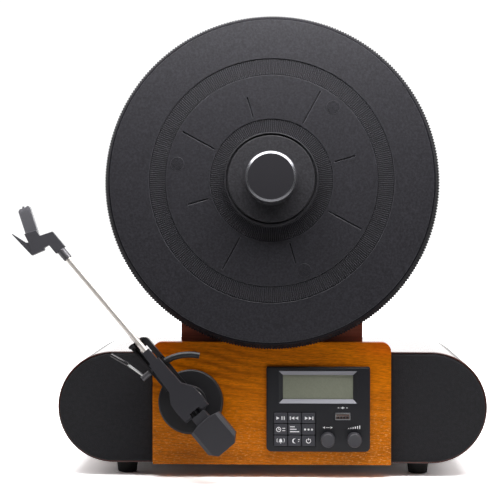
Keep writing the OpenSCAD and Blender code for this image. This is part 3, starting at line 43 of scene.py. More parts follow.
DECK_AT = (0, -100, 259)
ARM_AT = (-70, -191.8, 0)
ARM_ANGLE = 130.3
ROW = Matrix.Identity(4)
DECK = Matrix.Translation(DECK_AT) @ Matrix.Rotation(math.radians(90 - LEAN), 4, "X")
ARM = (DECK @ Matrix.Translation(ARM_AT) @ Matrix.Rotation(math.radians(ARM_ANGLE), 4, "Z")
       @ Matrix.Scale(-1, 4, (0, 1, 0)))
FRONT = Matrix.Rotation(math.radians(90), 4, "X")
MILLIMETRES = Matrix.Scale(0.001, 4)

# Case: half its depth, the middle of its round ends, its lip and wall, and the seats of back and baffle
CASE_HALF_D = 84.0
MID_Z = 60.0
CAP_X = 139.5
CAP_R = 49.0
LIP = 1.6
WALL = 5.0
BACK_SEAT = -79.0
BAFFLE_SEAT = 73.0
FOOT_X = 129.5
FOOT_Y = 62.0
FOOT_H = 11.0
FOOT_R = 9.65
FOOT_TIP_R = 8.5
FOOT_BORE = 3.6

# Grille cloth: its straight end, its border, where it starts and ends in depth, and its thread
CLOTH_EDGE = 104.3
CLOTH_INSET = 1.9
CLOTH_BACK = 83.4
CLOTH_FACE = 86.5
THREAD = 1.1

# Control panel: its face, where the window's slopes start, its keys, knobs and socket
PANEL_FACE = 98.0
WINDOW_FROM_Z = 60.0
WINDOW_EDGE = 97.9
KEYS_X = 20.1
KEYS_Z = 42.6
KEY_PITCH_X = 12.1
KEY_PITCH_Z = 9.9
KEY_HALF_W = 5.7
KEY_HALF_H = 4.55
KEY_RISE = 1.5
SYMBOL_SCALE = 1.25
TUNE_X = 48.9
VOLUME_X = 71.9
KNOB_Z = 34.3
KNOB_R = 6.35
KNOB_L = 12.0
KNOB_RIDGES = 48
KNOB_MARK_Z = 44.2
SOCKET_X = 61.9
SOCKET_Z = 53.9
SOCKET_HALF_W = 6.6
SOCKET_HALF_H = 3.0
SOCKET_MARK_Z = 61.4

# Platter: its face and rim, its ribbed rings and its plugs
FACE_R = 140.5
RIM_R = 146.3
RIM_DEPTH = 15.0
TEETH = 360
TOOTH_DEPTH = 0.8
OUTER_RIBS = (92.5, 105.6)
OUTER_RIB_COUNT = 360
INNER_RIBS = (41.15, 52.9)
INNER_RIB_COUNT = 180
RIB_TOP = -0.5
RIB_FOOT = -1.25
RIB_DEPTH = 0.7
PLUG_CIRCLE = 83.0
PLUG_ANGLE = 50.0
PLUG_R = 5.75
PLUG_TOP = 0.3

# Record clamp: flange with its groove, and knob
CLAMP_R = 40.4
CLAMP_BORE = 3.6
FLANGE_TOP = 12.5
GROOVE_OUT = 39.3
GROOVE_IN = 37.5
GROOVE_LOW = 9.6
CLAMP_KNOB_R = 22.1
CLAMP_TOP = 33.0

# Tonearm: height of the tube's axis, ends and radii of tube and collar, and where the lever's barrel starts
TUBE_Z = 13.0
TUBE_START = 49.5
TUBE_END = 176.0
TUBE_R = 2.65
COLLAR_START = 161.0
COLLAR_END = 170.9
COLLAR_R = 3.75
BARREL_FROM_X = -114.5

# Light: watts of the soft boxes, glow of the studio in front and behind, and what the floor throws back
OVERHEAD = 5.6
OVERHEAD_AT = (0.03, -0.22, 0.6)
OVERHEAD_AIM = (0.03, -0.12, 0.25)
FRONT_RIGHT = 1.2
FRONT_RIGHT_AT = (1.2, -1.2, 0.9)
FRONT_RIGHT_AIM = (0, 0, 0.2)
WORLD_SEEN = 1.1
WORLD_FRONT = 0.02
WORLD_TOP = 0.4
WORLD_BACK = 1.4
FLOOR_SEEN = 2.5
FLOOR_NEAR = 0.75
FLOOR_FAR = 0.05
FLOOR_DROP = 0.0005

# Camera: focal length on a sensor 36 mm wide, and where it stands and looks, in metres
LENS = 113.8
CAMERA_AT = (0.023, -1.469, 0.228)
CAMERA_AIM = (-0.0188, -0.094, 0.1984)


# Finishes

def tone(red, green, blue):
    """A colour as the eye sees it, from 0 to 255, in linear light."""
    def linear(c):
        c /= 255
        return c / 12.92 if c <= 0.04045 else ((c + 0.055) / 1.055) ** 2.4
    return (linear(red), linear(green), linear(blue), 1.0)


class Finish:
    """A material made of shader nodes."""

    def __init__(self, name, colour=(0.5, 0.5, 0.5, 1), roughness=0.5, **sockets):
        self.material = bpy.data.materials.new(name)
        self.material.use_nodes = True
        self.tree = self.material.node_tree
        self.tree.nodes.clear()
        self.out = self.add("ShaderNodeOutputMaterial")
        self.shader = self.add("ShaderNodeBsdfPrincipled")
        self.link(self.shader.outputs[0], self.out.inputs[0])
        self.shader.inputs["Base Color"].default_value = colour
        self.shader.inputs["Roughness"].default_value = roughness
        self.material.diffuse_color = colour
        for key, value in sockets.items():
            self.shader.inputs[key.replace("_", " ")].default_value = value

    def add(self, kind, **settings):
        node = self.tree.nodes.new(kind)
        for key, value in settings.items():
            setattr(node, key, value)
        return node

    def link(self, start, end):
        self.tree.links.new(start, end)

    def place(self, scale=(1, 1, 1), move=(0, 0, 0), turn=(0, 0, 0)):
        """The piece's own coordinates in metres, moved, turned and scaled."""
        coords = self.add("ShaderNodeTexCoord")
        mapping = self.add("ShaderNodeMapping")
        self.link(coords.outputs["Object"], mapping.inputs["Vector"])
        mapping.inputs["Scale"].default_value = scale
        mapping.inputs["Location"].default_value = move
        mapping.inputs["Rotation"].default_value = turn
        return mapping.outputs[0]

    def noise(self, where, scale, detail=3, rough=0.5, warp=0.0):
        node = self.add("ShaderNodeTexNoise")
        self.link(where, node.inputs["Vector"])
        node.inputs["Scale"].default_value = scale
        node.inputs["Detail"].default_value = detail
        node.inputs["Roughness"].default_value = rough
        node.inputs["Distortion"].default_value = warp
        return node.outputs["Fac"]

    def waves(self, where, scale, bend, bend_scale):
        """Bands across Z, bent by a slow noise."""
        node = self.add("ShaderNodeTexWave", wave_type="BANDS", bands_direction="Z", wave_profile="SIN")
        self.link(where, node.inputs["Vector"])
        for key, value in (("Scale", scale), ("Distortion", bend), ("Detail", 2),
                           ("Detail Scale", bend_scale / scale), ("Detail Roughness", 0.5)):
            node.inputs[key].default_value = value
        return node.outputs["Fac"]

    def step(self, value, start, end):
        """Rises smoothly from 0 at the start to 1 at the end."""
        node = self.add("ShaderNodeMapRange", interpolation_type="SMOOTHSTEP")
        self.link(value, node.inputs["Value"])
        low, high = sorted((start, end))
        for key, number in (("From Min", low), ("From Max", high), ("To Min", float(start > end)),
                            ("To Max", float(start < end))):
            node.inputs[key].default_value = number
        return node.outputs["Result"]

    def ramp(self, value, stops):
        node = self.add("ShaderNodeValToRGB")
        self.link(value, node.inputs["Fac"])
        while len(node.color_ramp.elements) < len(stops):
            node.color_ramp.elements.new(0.5)
        for element, (at, colour) in zip(node.color_ramp.elements, stops):
            element.position = at
            element.color = colour
        return node.outputs["Color"]

    def math(self, kind, first, second):
        node = self.add("ShaderNodeMath", operation=kind)
        for socket, value in zip(node.inputs, (first, second)):
            if isinstance(value, (int, float)):
                socket.default_value = value
            else:
                self.link(value, socket)
        return node.outputs[0]

    def mix(self, amount, first, second, kind="MIX"):
        node = self.add("ShaderNodeMix", data_type="RGBA", blend_type=kind)
        for socket, value in zip((node.inputs[0], node.inputs[6], node.inputs[7]), (amount, first, second)):
            if isinstance(value, (int, float, tuple)):
                socket.default_value = value
            else:
                self.link(value, socket)
        return node.outputs[2]

    def bump(self, height, strength, distance):
        node = self.add("ShaderNodeBump")
        node.inputs["Strength"].default_value = strength
        node.inputs["Distance"].default_value = distance
        self.link(height, node.inputs["Height"])
        self.link(node.outputs[0], self.shader.inputs["Normal"])
        return self

    def colour(self, source):
        self.link(source, self.shader.inputs["Base Color"])
        return self


def grey(level):
    return (level, level, level, 1.0)


def moulded(name, colour, roughness, grain, depth, **sockets):
    """Plastic with a fine moulded grain; grain is the size of its bumps, in millimetres."""
    made = Finish(name, colour, roughness, **sockets)
    where = made.place()
    made.bump(made.noise(where, 1000 / grain, 2, 0.6), 0.5, depth)
    return made


def veneer_finish():
    """Orange-brown veneer: soft dark waves fall to the right on its left side, over fine level pores."""
    made = Finish("veneer", tone(190, 110, 20), 0.45, Coat_Weight=0.08, Coat_Roughness=0.25)
    made.shader.inputs["Specular IOR Level"].default_value = 0.1
    falling = made.place(turn=(0, math.radians(-15), 0))
    broad = made.noise(made.place(scale=(9, 9, 60), turn=(0, math.radians(-6), 0)), 1.0, 3, 0.55, 0.6)
    waves = made.waves(falling, 42, 7, 12)
    fine_waves = made.waves(made.place(turn=(0, math.radians(-4), 0)), 105, 9, 16)
    pores = made.noise(made.place(scale=(170, 170, 1150)), 1.0, 3, 0.7)
    flecks = made.noise(made.place(scale=(330, 330, 1300), turn=(0, math.radians(-5), 0)), 1.0, 2, 0.6)
    side = made.add("ShaderNodeSeparateXYZ")
    made.link(made.place(), side.inputs[0])
    left = made.step(side.outputs["X"], 0.03, -0.05)
    high = made.math("MULTIPLY", made.step(side.outputs["Z"], 0.06, 0.085),
                     made.step(side.outputs["Z"], 0.117, 0.108))
    zone = made.math("MULTIPLY", left, high)
    base = made.ramp(broad, [(0.3, tone(180, 97, 0)), (0.5, tone(206, 112, 1)), (0.7, tone(224, 125, 3))])
    figure = made.ramp(waves, [(0.0, tone(200, 186, 160)), (0.4, grey(0.9)), (0.8, grey(1.08))])
    fine = made.ramp(fine_waves, [(0.0, grey(0.62)), (0.55, grey(1.08))])
    lines = made.ramp(pores, [(0.34, grey(0.62)), (0.48, grey(0.98)), (0.66, grey(1.3))])
    strength = made.math("MULTIPLY_ADD", zone, 0.6)
    strength.node.inputs[2].default_value = 0.12
    wood = made.mix(strength, base, figure, "MULTIPLY")
    wood = made.mix(0.3, wood, fine, "MULTIPLY")
    wood = made.mix(0.8, wood, lines, "MULTIPLY")
    low = made.step(side.outputs["Z"], 0.09, 0.02)
    right = made.step(side.outputs["X"], -0.06, 0.09)
    bright = made.ramp(flecks, [(0.55, grey(0.0)), (0.67, grey(1.0))])
    shown = made.math("MAXIMUM", made.math("MULTIPLY", low, 0.55), made.math("MULTIPLY", low, right))
    fleck = made.math("MULTIPLY", bright, shown)
    wood = made.mix(made.math("MULTIPLY", fleck, 0.6), wood, tone(252, 198, 124))
    # painted shade: the panel's top corners are mixed towards a darker red
    ends = made.math("MULTIPLY", made.step(made.math("ABSOLUTE", side.outputs["X"], 0), 0.06, 0.1),
                     made.step(side.outputs["Z"], 0.1, 0.117))
    wood = made.mix(made.math("MULTIPLY", ends, 0.6), wood, tone(196, 70, 4))
    made.colour(wood)
    made.bump(pores, 0.25, 0.00012)
    return made


def dark_wood_finish(name, colour, light):
    """Dark lacquered wood with long fine grain along X."""
    made = Finish(name, colour, 0.32, Coat_Weight=0.9, Coat_Roughness=0.05)
    grain = made.noise(made.place(scale=(6, 55, 55)), 1.6, 4, 0.6, 0.6)
    pores = made.noise(made.place(scale=(30, 600, 600)), 1.0, 2, 0.6)
    wood = made.ramp(grain, [(0.3, colour), (0.7, light)])
    wood = made.mix(0.5, wood, made.ramp(pores, [(0.35, grey(0.6)), (0.55, grey(1.0))]), "MULTIPLY")
    made.colour(wood)
    return made


def cloth_finish():
    """Black speaker cloth; its weave follows the sheet's own map."""
    made = Finish("grille cloth", tone(34, 33, 38), 0.9, Sheen_Weight=0.15, Sheen_Roughness=0.5)
    uv = made.add("ShaderNodeUVMap", uv_map="weave")
    mapping = made.add("ShaderNodeMapping")
    made.link(uv.outputs[0], mapping.inputs["Vector"])
    mapping.inputs["Scale"].default_value = (1, 1, 1)
    checks = made.add("ShaderNodeTexVoronoi", feature="F1", distance="CHEBYCHEV")
    made.link(mapping.outputs[0], checks.inputs["Vector"])
    checks.inputs["Scale"].default_value = 1.0
    checks.inputs["Randomness"].default_value = 0.35
    tufts = made.ramp(checks.outputs["Distance"], [(0.1, grey(1.0)), (0.55, grey(0.35))])
    uneven = made.noise(mapping.outputs[0], 0.35, 3, 0.6)
    tint = made.ramp(uneven, [(0.3, tone(22, 21, 26)), (0.7, tone(34, 33, 39))])
    made.colour(made.mix(0.75, tint, tufts, "MULTIPLY"))
    made.bump(tufts, 0.6, 0.0003)
    return made


def pebbled(name, colour, roughness, size=0.9, depth=0.00012):
    """Plastic with a moulded leather grain, and the speckle of highlight and shade that the grain gives in
    strong light, painted into its colour.
    """
    made = Finish(name, colour, roughness)
    where = made.place()
    cells = made.add("ShaderNodeTexVoronoi", feature="SMOOTH_F1")
    made.link(where, cells.inputs["Vector"])
    cells.inputs["Scale"].default_value = 1000 / size
    cells.inputs["Smoothness"].default_value = 0.6
    fine = made.noise(where, 600 / size, 3, 0.7)
    height = made.mix(0.5, cells.outputs["Distance"], fine)
    made.bump(height, 0.7, depth)
    # painted highlight and shade: the colour is lightened and darkened at the size of the grain
    speckle = made.noise(where, 480 / size, 3, 0.75)
    shade = made.ramp(speckle, [(0.36, tuple(0.62 * c for c in colour[:3]) + (1.0,)), (0.5, colour),
                                (0.64, tuple(1.45 * c for c in colour[:3]) + (1.0,))])
    made.colour(shade)
    return made


def brushed(name, colour, roughness, metallic=1.0, depth=0.00004):
    made = Finish(name, colour, roughness, Metallic=metallic)
    made.bump(made.noise(made.place(scale=(300, 300, 3000)), 1.0, 2, 0.5), 0.3, depth)
    return made


VENEER = veneer_finish()
MAHOGANY = dark_wood_finish("dark lacquered wood", tone(72, 30, 24), tone(98, 44, 33))
# the riser's wood is lighter than the case's dark wood: painted fill light for the platter's shade
RISER_WOOD_PAINTED_FILL = dark_wood_finish("riser wood lightened painted fill light", tone(150, 80, 62), tone(186, 106, 82))
BOARD = moulded("fibreboard", tone(150, 118, 82), 0.85, 1.2, 0.0002)
CLOTH = cloth_finish()
FOOT_RUBBER = moulded("foot rubber", tone(24, 22, 22), 0.75, 0.8, 0.0001)
RUBBER = moulded("belt rubber", tone(22, 22, 22), 0.7, 0.6, 0.00005)
BLACK_PLASTIC = moulded("black plastic", tone(33, 32, 35), 0.42, 0.5, 0.00003)
BEZEL = moulded("bezel plastic", tone(24, 24, 30), 0.4, 0.35, 0.000015)
# a light finish for the upper and lower slopes of the display window: painted reflection of the lamp above
# and the floor below
WINDOW_SLOPES_PAINTED_LIGHT = moulded("window slopes painted reflection", tone(140, 140, 148), 0.45, 0.35, 0.00001, Metallic=0.2)
KEY_PLASTIC = moulded("key plastic", tone(60, 60, 67), 0.5, 0.4, 0.00003)
KNOB_PLASTIC = moulded("small knob plastic", tone(68, 67, 72), 0.4, 0.4, 0.00003)
PLATTER_PLASTIC = pebbled("platter plastic", tone(42, 41, 46), 0.42)
# The ribs are one plastic: the lighter flank finish is a painted highlight and the darker crest finish a
# painted shade
RIB_FLANK_PAINTED_HIGHLIGHT = moulded("rib flank painted highlight", tone(80, 79, 85), 0.4, 0.4, 0.00001)
RIB_CREST_PAINTED_SHADE = moulded("rib crest painted shade", tone(20, 19, 22), 0.5, 0.4, 0.00001)
# a lighter copy of the platter plastic for its rounded edges: painted highlight
EDGE_HIGHLIGHT_PLASTIC = moulded("platter edge painted highlight", tone(92, 91, 97), 0.3, 0.4, 0.00001)
# the rim's plastic is darker than the face: painted shade of its deep teeth
RIM_PLASTIC_PAINTED_SHADE = moulded("rim plastic painted shade", tone(30, 29, 33), 0.6, 0.4, 0.00003, Specular_IOR_Level=0.08)
CLAMP_PLASTIC = pebbled("clamp flange plastic", tone(48, 47, 51), 0.45)
KNOB_FACE = moulded("clamp knob plastic", tone(50, 49, 53), 0.33, 0.3, 0.00001)
# a light, metallic copy of the knob plastic for its chamfer: painted highlight
KNOB_EDGE_PAINTED_HIGHLIGHT = moulded("clamp knob edge painted highlight", tone(140, 140, 145), 0.25, 0.3, 0.00001, Metallic=0.8)
ARM_PLASTIC = moulded("arm plastic", tone(50, 49, 54), 0.42, 0.4, 0.00003)
SHELL_PLASTIC = moulded("headshell plastic", tone(76, 75, 80), 0.4, 0.4, 0.00003)
WEIGHT_PAINT = moulded("weight paint", tone(51, 50, 55), 0.5, 0.6, 0.00005)
BASE_PLASTIC = moulded("arm base plastic", tone(32, 31, 34), 0.45, 0.4, 0.00003)
TUBE_METAL = brushed("satin tube metal", tone(246, 238, 232), 0.35, 0.55)
COLLAR = brushed("dark bright collar", tone(112, 110, 114), 0.4, 0.6, 0.00002)
# chrome parts in a white finish: painted glint
CHROME_PAINTED_WHITE = moulded("chrome painted white glint", tone(248, 248, 248), 0.3, 0.3, 0.00001, Metallic=0.2)
GRIP_METAL = moulded("cue grip", tone(90, 88, 90), 0.25, 0.4, 0.00001, Metallic=0.8)
STEEL = brushed("steel", tone(176, 176, 180), 0.35)
DARK_STEEL = brushed("black screw", tone(52, 52, 55), 0.4, 0.8)
BRASS = brushed("brass", tone(205, 165, 95), 0.3)
CIRCUIT = moulded("circuit board", tone(25, 85, 45), 0.45, 0.8, 0.00003)
CONE = moulded("speaker cone", tone(30, 30, 32), 0.8, 0.9, 0.0002)
PRINT = moulded("white print", tone(250, 250, 252), 0.55, 0.1, 0.00002)
SOCKET_BED = moulded("socket bed", tone(104, 84, 78), 0.6, 0.3, 0.00002)


def display_finish():
    made = Finish("display", tone(134, 137, 121), 0.25, Coat_Weight=0.3, Coat_Roughness=0.08)
    fine = made.noise(made.place(), 900, 2, 0.5)
    made.colour(made.ramp(fine, [(0.3, tone(132, 135, 119)), (0.7, tone(139, 142, 126))]))
    return made


def guard_finish():
    made = Finish("see-through guard", tone(140, 139, 145), 0.28, IOR=1.46)
    made.shader.inputs["Transmission Weight"].default_value = 0.45
    return made


DISPLAY = display_finish()
GUARD = guard_finish()


# Shapes

class Shape:
    """A mesh in the making, in millimetres in a frame of its own."""

    def __init__(self):
        self.bm = bmesh.new()
        self.finish = 0

    def _done(self, before):
        for face in list(self.bm.faces)[before:]:
            face.material_index = self.finish
        return self

    def sheet(self, outline, height=0.0):
        """One flat face on an outline."""
        before = len(self.bm.faces)
        corners = [self.bm.verts.new((x, y, height)) for x, y in outline]
        face = self.bm.faces.new(corners)
        self._done(before)
        return face

    def prism(self, outline, low, high):
        """A flat outline made solid between two heights."""
        before = len(self.bm.faces)
        face = self.sheet(outline, low)
        grown = bmesh.ops.extrude_face_region(self.bm, geom=[face], use_keep_orig=True)
        moved = [v for v in grown["geom"] if isinstance(v, bmesh.types.BMVert)]
        bmesh.ops.translate(self.bm, vec=(0, 0, high - low), verts=moved)
        return self._done(before)

    def block(self, low, high, corner=0.0, edge=0.0):
        """A box; corner rounds its upright edges and edge the rim of its top."""
        before = len(self.bm.faces)
        made = bmesh.ops.create_cube(self.bm, size=1)["verts"]
        bmesh.ops.scale(self.bm, vec=[b - a for a, b in zip(low, high)], verts=made)
        bmesh.ops.translate(self.bm, vec=[(a + b) / 2 for a, b in zip(low, high)], verts=made)
        edges = {e for v in made for e in v.link_edges}
        if corner:
            upright = [e for e in edges if abs(e.verts[0].co.z - e.verts[1].co.z) > 1e-4]
            bmesh.ops.bevel(self.bm, geom=upright, offset=corner, segments=4, profile=0.5,
                            affect="EDGES", material=-1)
        if edge:
            faces = list(self.bm.faces)[before:]
            top = max(faces, key=lambda f: f.calc_center_median().z)
            bmesh.ops.bevel(self.bm, geom=list(top.edges), offset=edge, segments=3, profile=0.5,
                            affect="EDGES", material=-1)
        return self._done(before)

    def spin(self, profile, steps=96, centre=(0, 0), closed=True):
        """A profile of radius and height turned about an upright axis; an open one ends on that axis."""
        before = len(self.bm.faces)
        old = set(self.bm.verts)
        corners = [self.bm.verts.new((centre[0] + r, centre[1], z)) for r, z in profile]
        edges = [self.bm.edges.new(pair) for pair in zip(corners, corners[1:])]
        if closed:
            edges.append(self.bm.edges.new((corners[-1], corners[0])))
        bmesh.ops.spin(self.bm, geom=corners + edges, cent=(*centre, 0), axis=(0, 0, 1), dvec=(0, 0, 0),
                       angle=2 * math.pi, steps=steps, use_merge=True)
        if not closed:
            fresh = [v for v in self.bm.verts if v not in old]
            bmesh.ops.remove_doubles(self.bm, verts=fresh, dist=1e-5)
        return self._done(before)

    def columns(self, teeth, inside, outside, low, high, centre=(0, 0), share=0.5):
        """A share of the points of a band that was spun in four steps a tooth."""
        picked = []
        for v in self.bm.verts:
            x, y = v.co.x - centre[0], v.co.y - centre[1]
            if inside <= math.hypot(x, y) <= outside and low <= v.co.z <= high:
                step = round(math.atan2(y, x) / (2 * math.pi) * teeth * 4) % 4
                if step < 4 * share:
                    picked.append(v)
        return picked

    def rod(self, start, end, radius, end_radius=None, sides=24):
        """A round bar between two points."""
        before = len(self.bm.faces)
        start, end = Vector(start), Vector(end)
        along = end - start
        place = Matrix.Translation((start + end) / 2) @ along.to_track_quat("Z", "Y").to_matrix().to_4x4()
        bmesh.ops.create_cone(self.bm, cap_ends=True, segments=sides, radius1=radius,
                              radius2=radius if end_radius is None else end_radius,
                              depth=along.length, matrix=place)
        return self._done(before)


def finish_mesh(bm, name, finishes, crease):
    """The finished mesh, smooth but for edges sharper than the crease angle."""
    bmesh.ops.recalc_face_normals(bm, faces=bm.faces)
    for face in bm.faces:
        face.smooth = True
    limit = math.radians(crease)
    for edge in bm.edges:
        edge.smooth = len(edge.link_faces) == 2 and edge.calc_face_angle(0) < limit
    mesh = bpy.data.meshes.new(name)
    bm.to_mesh(mesh)
    bm.free()
    for finish in finishes:
        mesh.materials.append(finish.material)
    return mesh


def round_edges(piece, width, segments=2, angle=30):
    bevel = piece.modifiers.new("rounded edges", "BEVEL")
    bevel.width = width * 0.001
    bevel.segments = segments
    bevel.limit_method = "ANGLE"
    bevel.angle_limit = math.radians(angle)
    bevel.use_clamp_overlap = True
    return piece


def even_shading(piece):
    """Lets the large faces set the shading, so that flats stay flat beside rounded edges."""
    even = piece.modifiers.new("even shading", "WEIGHTED_NORMAL")
    even.weight = 100
    even.keep_sharp = True


def add_piece(name, shape, place, body, finishes, instead_of=(), bevel=0, crease=35):
    """A new piece that rides on a body and stands for the nodes named."""
    if not isinstance(finishes, (list, tuple)):
        finishes = [finishes]
    bmesh.ops.transform(shape.bm, matrix=MILLIMETRES @ place, verts=shape.bm.verts)
    piece = bpy.data.objects.new(name, finish_mesh(shape.bm, name, finishes, crease))
    bpy.context.scene.collection.objects.link(piece)
    if bevel:
        round_edges(piece, bevel)
    even_shading(piece)
    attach(piece, body)
    if instead_of:
        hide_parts(*instead_of)
    return piece


def dressed(node, body, finish, bevel=0.4, crease=30, segments=2):
    """The CAD part's own surface with rounded edges and a finish."""
    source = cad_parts[node]
    bm = bmesh.new()
    bm.from_mesh(source.data)
    bm.transform(source.matrix_world)
    bmesh.ops.remove_doubles(bm, verts=bm.verts, dist=1e-6)
    bmesh.ops.dissolve_limit(bm, angle_limit=math.radians(0.4), verts=bm.verts, edges=bm.edges)
    for face in bm.faces:
        face.material_index = 0
    name = node + "_finished"
    piece = bpy.data.objects.new(name, finish_mesh(bm, name, [finish], crease))
    bpy.context.scene.collection.objects.link(piece)
    if bevel:
        round_edges(piece, bevel, segments, crease)
    even_shading(piece)
    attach(piece, body)
    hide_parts(node)
    return piece


def painted(node, finish):
    """A CAD part that shows as it is, in a finish."""
    mesh = bpy.data.objects[node].data
    mesh.materials.clear()
    mesh.materials.append(finish.material)


def swept_round(shape, profile):
    """Sweeps a profile of inset and depth round the cabinet's outline: half a turn, a flat, and again."""
    before = len(shape.bm.faces)
    corners = [shape.bm.verts.new((CAP_X, MID_Z + CAP_R - inset, height)) for inset, height in profile]
    edges = [shape.bm.edges.new(pair) for pair in zip(corners, corners[1:] + corners[:1])]
    geom = corners + edges
    for side in (1, -1):
        turned = bmesh.ops.spin(shape.bm, geom=geom, cent=(side * CAP_X, MID_Z, 0), axis=(0, 0, -1),
                                dvec=(0, 0, 0), angle=math.pi, steps=48, use_merge=False)["geom_last"]
        last = [g for g in turned if isinstance(g, bmesh.types.BMEdge)]
        grown = bmesh.ops.extrude_edge_only(shape.bm, edges=last)["geom"]
        moved = [g for g in grown if isinstance(g, bmesh.types.BMVert)]
        bmesh.ops.translate(shape.bm, vec=(-side * 2 * CAP_X, 0, 0), verts=moved)
        geom = moved + [g for g in grown if isinstance(g, bmesh.types.BMEdge)]
    bmesh.ops.remove_doubles(shape.bm, verts=shape.bm.verts, dist=1e-4)
    return shape._done(before)


# Cabinet

def cabinet():
    """The wooden case: a long tube with round ends and rounded lips, on four rubber feet."""
    rounding = ((0.9, 0.0), (0.25, 0.25), (0.0, 0.9))
    front = [(inset, CASE_HALF_D - back) for inset, back in rounding]
    rear = [(inset, -height) for inset, height in reversed(front)]
    inside = [(LIP - 0.3, -CASE_HALF_D), (LIP, 0.3 - CASE_HALF_D), (LIP, BACK_SEAT), (WALL, BACK_SEAT),
              (WALL, BAFFLE_SEAT), (LIP, BAFFLE_SEAT), (LIP, CASE_HALF_D - 0.3), (LIP - 0.3, CASE_HALF_D)]
    shell = swept_round(Shape(), front + rear + inside)
    add_piece("cabinet_shell_finished", shell, FRONT, "root", MAHOGANY, ["cabinet_shell"],
              crease=50)
    feet = Shape()
    foot = [(FOOT_BORE, 0.3), (FOOT_BORE + 0.3, 0), (FOOT_TIP_R - 0.5, 0), (FOOT_TIP_R, 0.5),
            (FOOT_TIP_R + 0.4, 4), (FOOT_R, FOOT_H), (FOOT_BORE, FOOT_H)]
    for x in (-FOOT_X, FOOT_X):
        for y in (-FOOT_Y, FOOT_Y):
            feet.spin(foot, 48, (x, y))
    add_piece("feet_finished", feet, ROW, "root", FOOT_RUBBER, ["feet"], crease=50)
    dressed("front_panel", "root", VENEER, 1.0, segments=3)
    dressed("back_panel", "root", BLACK_PLASTIC, 0.4)
    for node, finish in (("baffle", BOARD), ("speakers", CONE), ("case_screws", DARK_STEEL),
                         ("grilles", BLACK_PLASTIC), ("line_out_sockets", BRASS),
                         ("aux_socket", BLACK_PLASTIC), ("power_inlet", BLACK_PLASTIC),
                         ("main_board", CIRCUIT)):
        painted(node, finish)


def speaker_cloths():
    """Cloth stretched over each grille's frame and turned in round its border."""
    radius = CAP_R - CLOTH_INSET
    rounding = ((0.001, 1.2), (0.05, 0.7), (0.2, 0.5), (0.32, 0.36), (0.5, 0.24), (1.0, 0.1))
    for side, name in ((-1, "left"), (1, "right")):
        cloth = Shape()
        tip = cloth.bm.verts.new((CAP_X, MID_Z - radius, CLOTH_BACK))
        bmesh.ops.spin(cloth.bm, geom=[tip], cent=(CAP_X, MID_Z, 0), axis=(0, 0, 1), dvec=(0, 0, 0),
                       angle=math.pi, steps=60)
        ends = sorted(cloth.bm.verts, key=lambda v: v.co.y)
        low, high = (cloth.bm.verts.new((CLOTH_EDGE, v.co.y, CLOTH_BACK)) for v in (ends[0], ends[-1]))
        for pair in ((ends[0], low), (low, high), (high, ends[-1])):
            cloth.bm.edges.new(pair)
        straight_edges = list({e for v in (low, high) for e in v.link_edges})
        bmesh.ops.subdivide_edges(cloth.bm, edges=straight_edges, cuts=12)
        bmesh.ops.edgeloop_fill(cloth.bm, edges=cloth.bm.edges)
        face = cloth.bm.faces[:][0]
        face.normal_update()
        if face.normal.z < 0:
            bmesh.ops.reverse_faces(cloth.bm, faces=[face])
        for thickness, depth in rounding:
            bmesh.ops.inset_region(cloth.bm, faces=[face], thickness=thickness, depth=depth,
                                   use_even_offset=True, use_boundary=True)
        if side < 0:
            bmesh.ops.scale(cloth.bm, vec=(-1, 1, 1), verts=cloth.bm.verts)
        weave = cloth.bm.loops.layers.uv.new("weave")
        for one in cloth.bm.faces:
            for loop in one.loops:
                x, z, height = loop.vert.co
                loop[weave].uv = ((x + (height - CLOTH_FACE) * side) / THREAD, z / THREAD)
        piece = add_piece(name + "_grille_cloth", cloth, FRONT, "root", CLOTH, (),
                          crease=80)


# Control panel

def key_centre(index):
    """Where a key sits in its three rows of three."""
    row, column = divmod(index, 3)
    return KEYS_X + (column - 1) * KEY_PITCH_X, KEYS_Z + (1 - row) * KEY_PITCH_Z


def bar(x0, y0, x1, y1, width=0.5):
    """A straight printed stroke."""
    length = math.hypot(x1 - x0, y1 - y0)
    px, py = -(y1 - y0) / length * width / 2, (x1 - x0) / length * width / 2
    return [(x0 + px, y0 + py), (x0 - px, y0 - py), (x1 - px, y1 - py), (x1 + px, y1 + py)]


def dot(x, y, r, sides=16):
    """A printed dot."""
    return [(x + r * math.cos(2 * math.pi * i / sides), y + r * math.sin(2 * math.pi * i / sides))
            for i in range(sides)]


def arrow(x, y, r, way=1):
    """A printed arrowhead that points right, or left."""
    return [(x - way * r * 0.8, y - r), (x + way * r, y), (x - way * r * 0.8, y + r)]


def arc(x, y, r, start, end, width=0.45, steps=14):
    """A printed arc of short strokes that meet."""
    def at(radius, i):
        a = math.radians(start + (end - start) * i / steps)
        return x + radius * math.cos(a), y + radius * math.sin(a)
    inner, outer = r - width / 2, r + width / 2
    return [[at(inner, i), at(outer, i), at(outer, i + 1), at(inner, i + 1)] for i in range(steps)]


def crescent(r, steps=12):
    """A printed crescent moon: two arcs that meet at its horns."""
    outer = [math.radians(60 + 240 * i / steps) for i in range(steps + 1)]
    rim = [(r * math.cos(a), r * math.sin(a)) for a in outer]
    bite = [(0.45 * r + 0.87 * r * math.cos(b), 0.87 * r * math.sin(b))
            for b in (math.radians(266 - 172 * i / steps) for i in range(1, steps))]
    return [rim + bite]


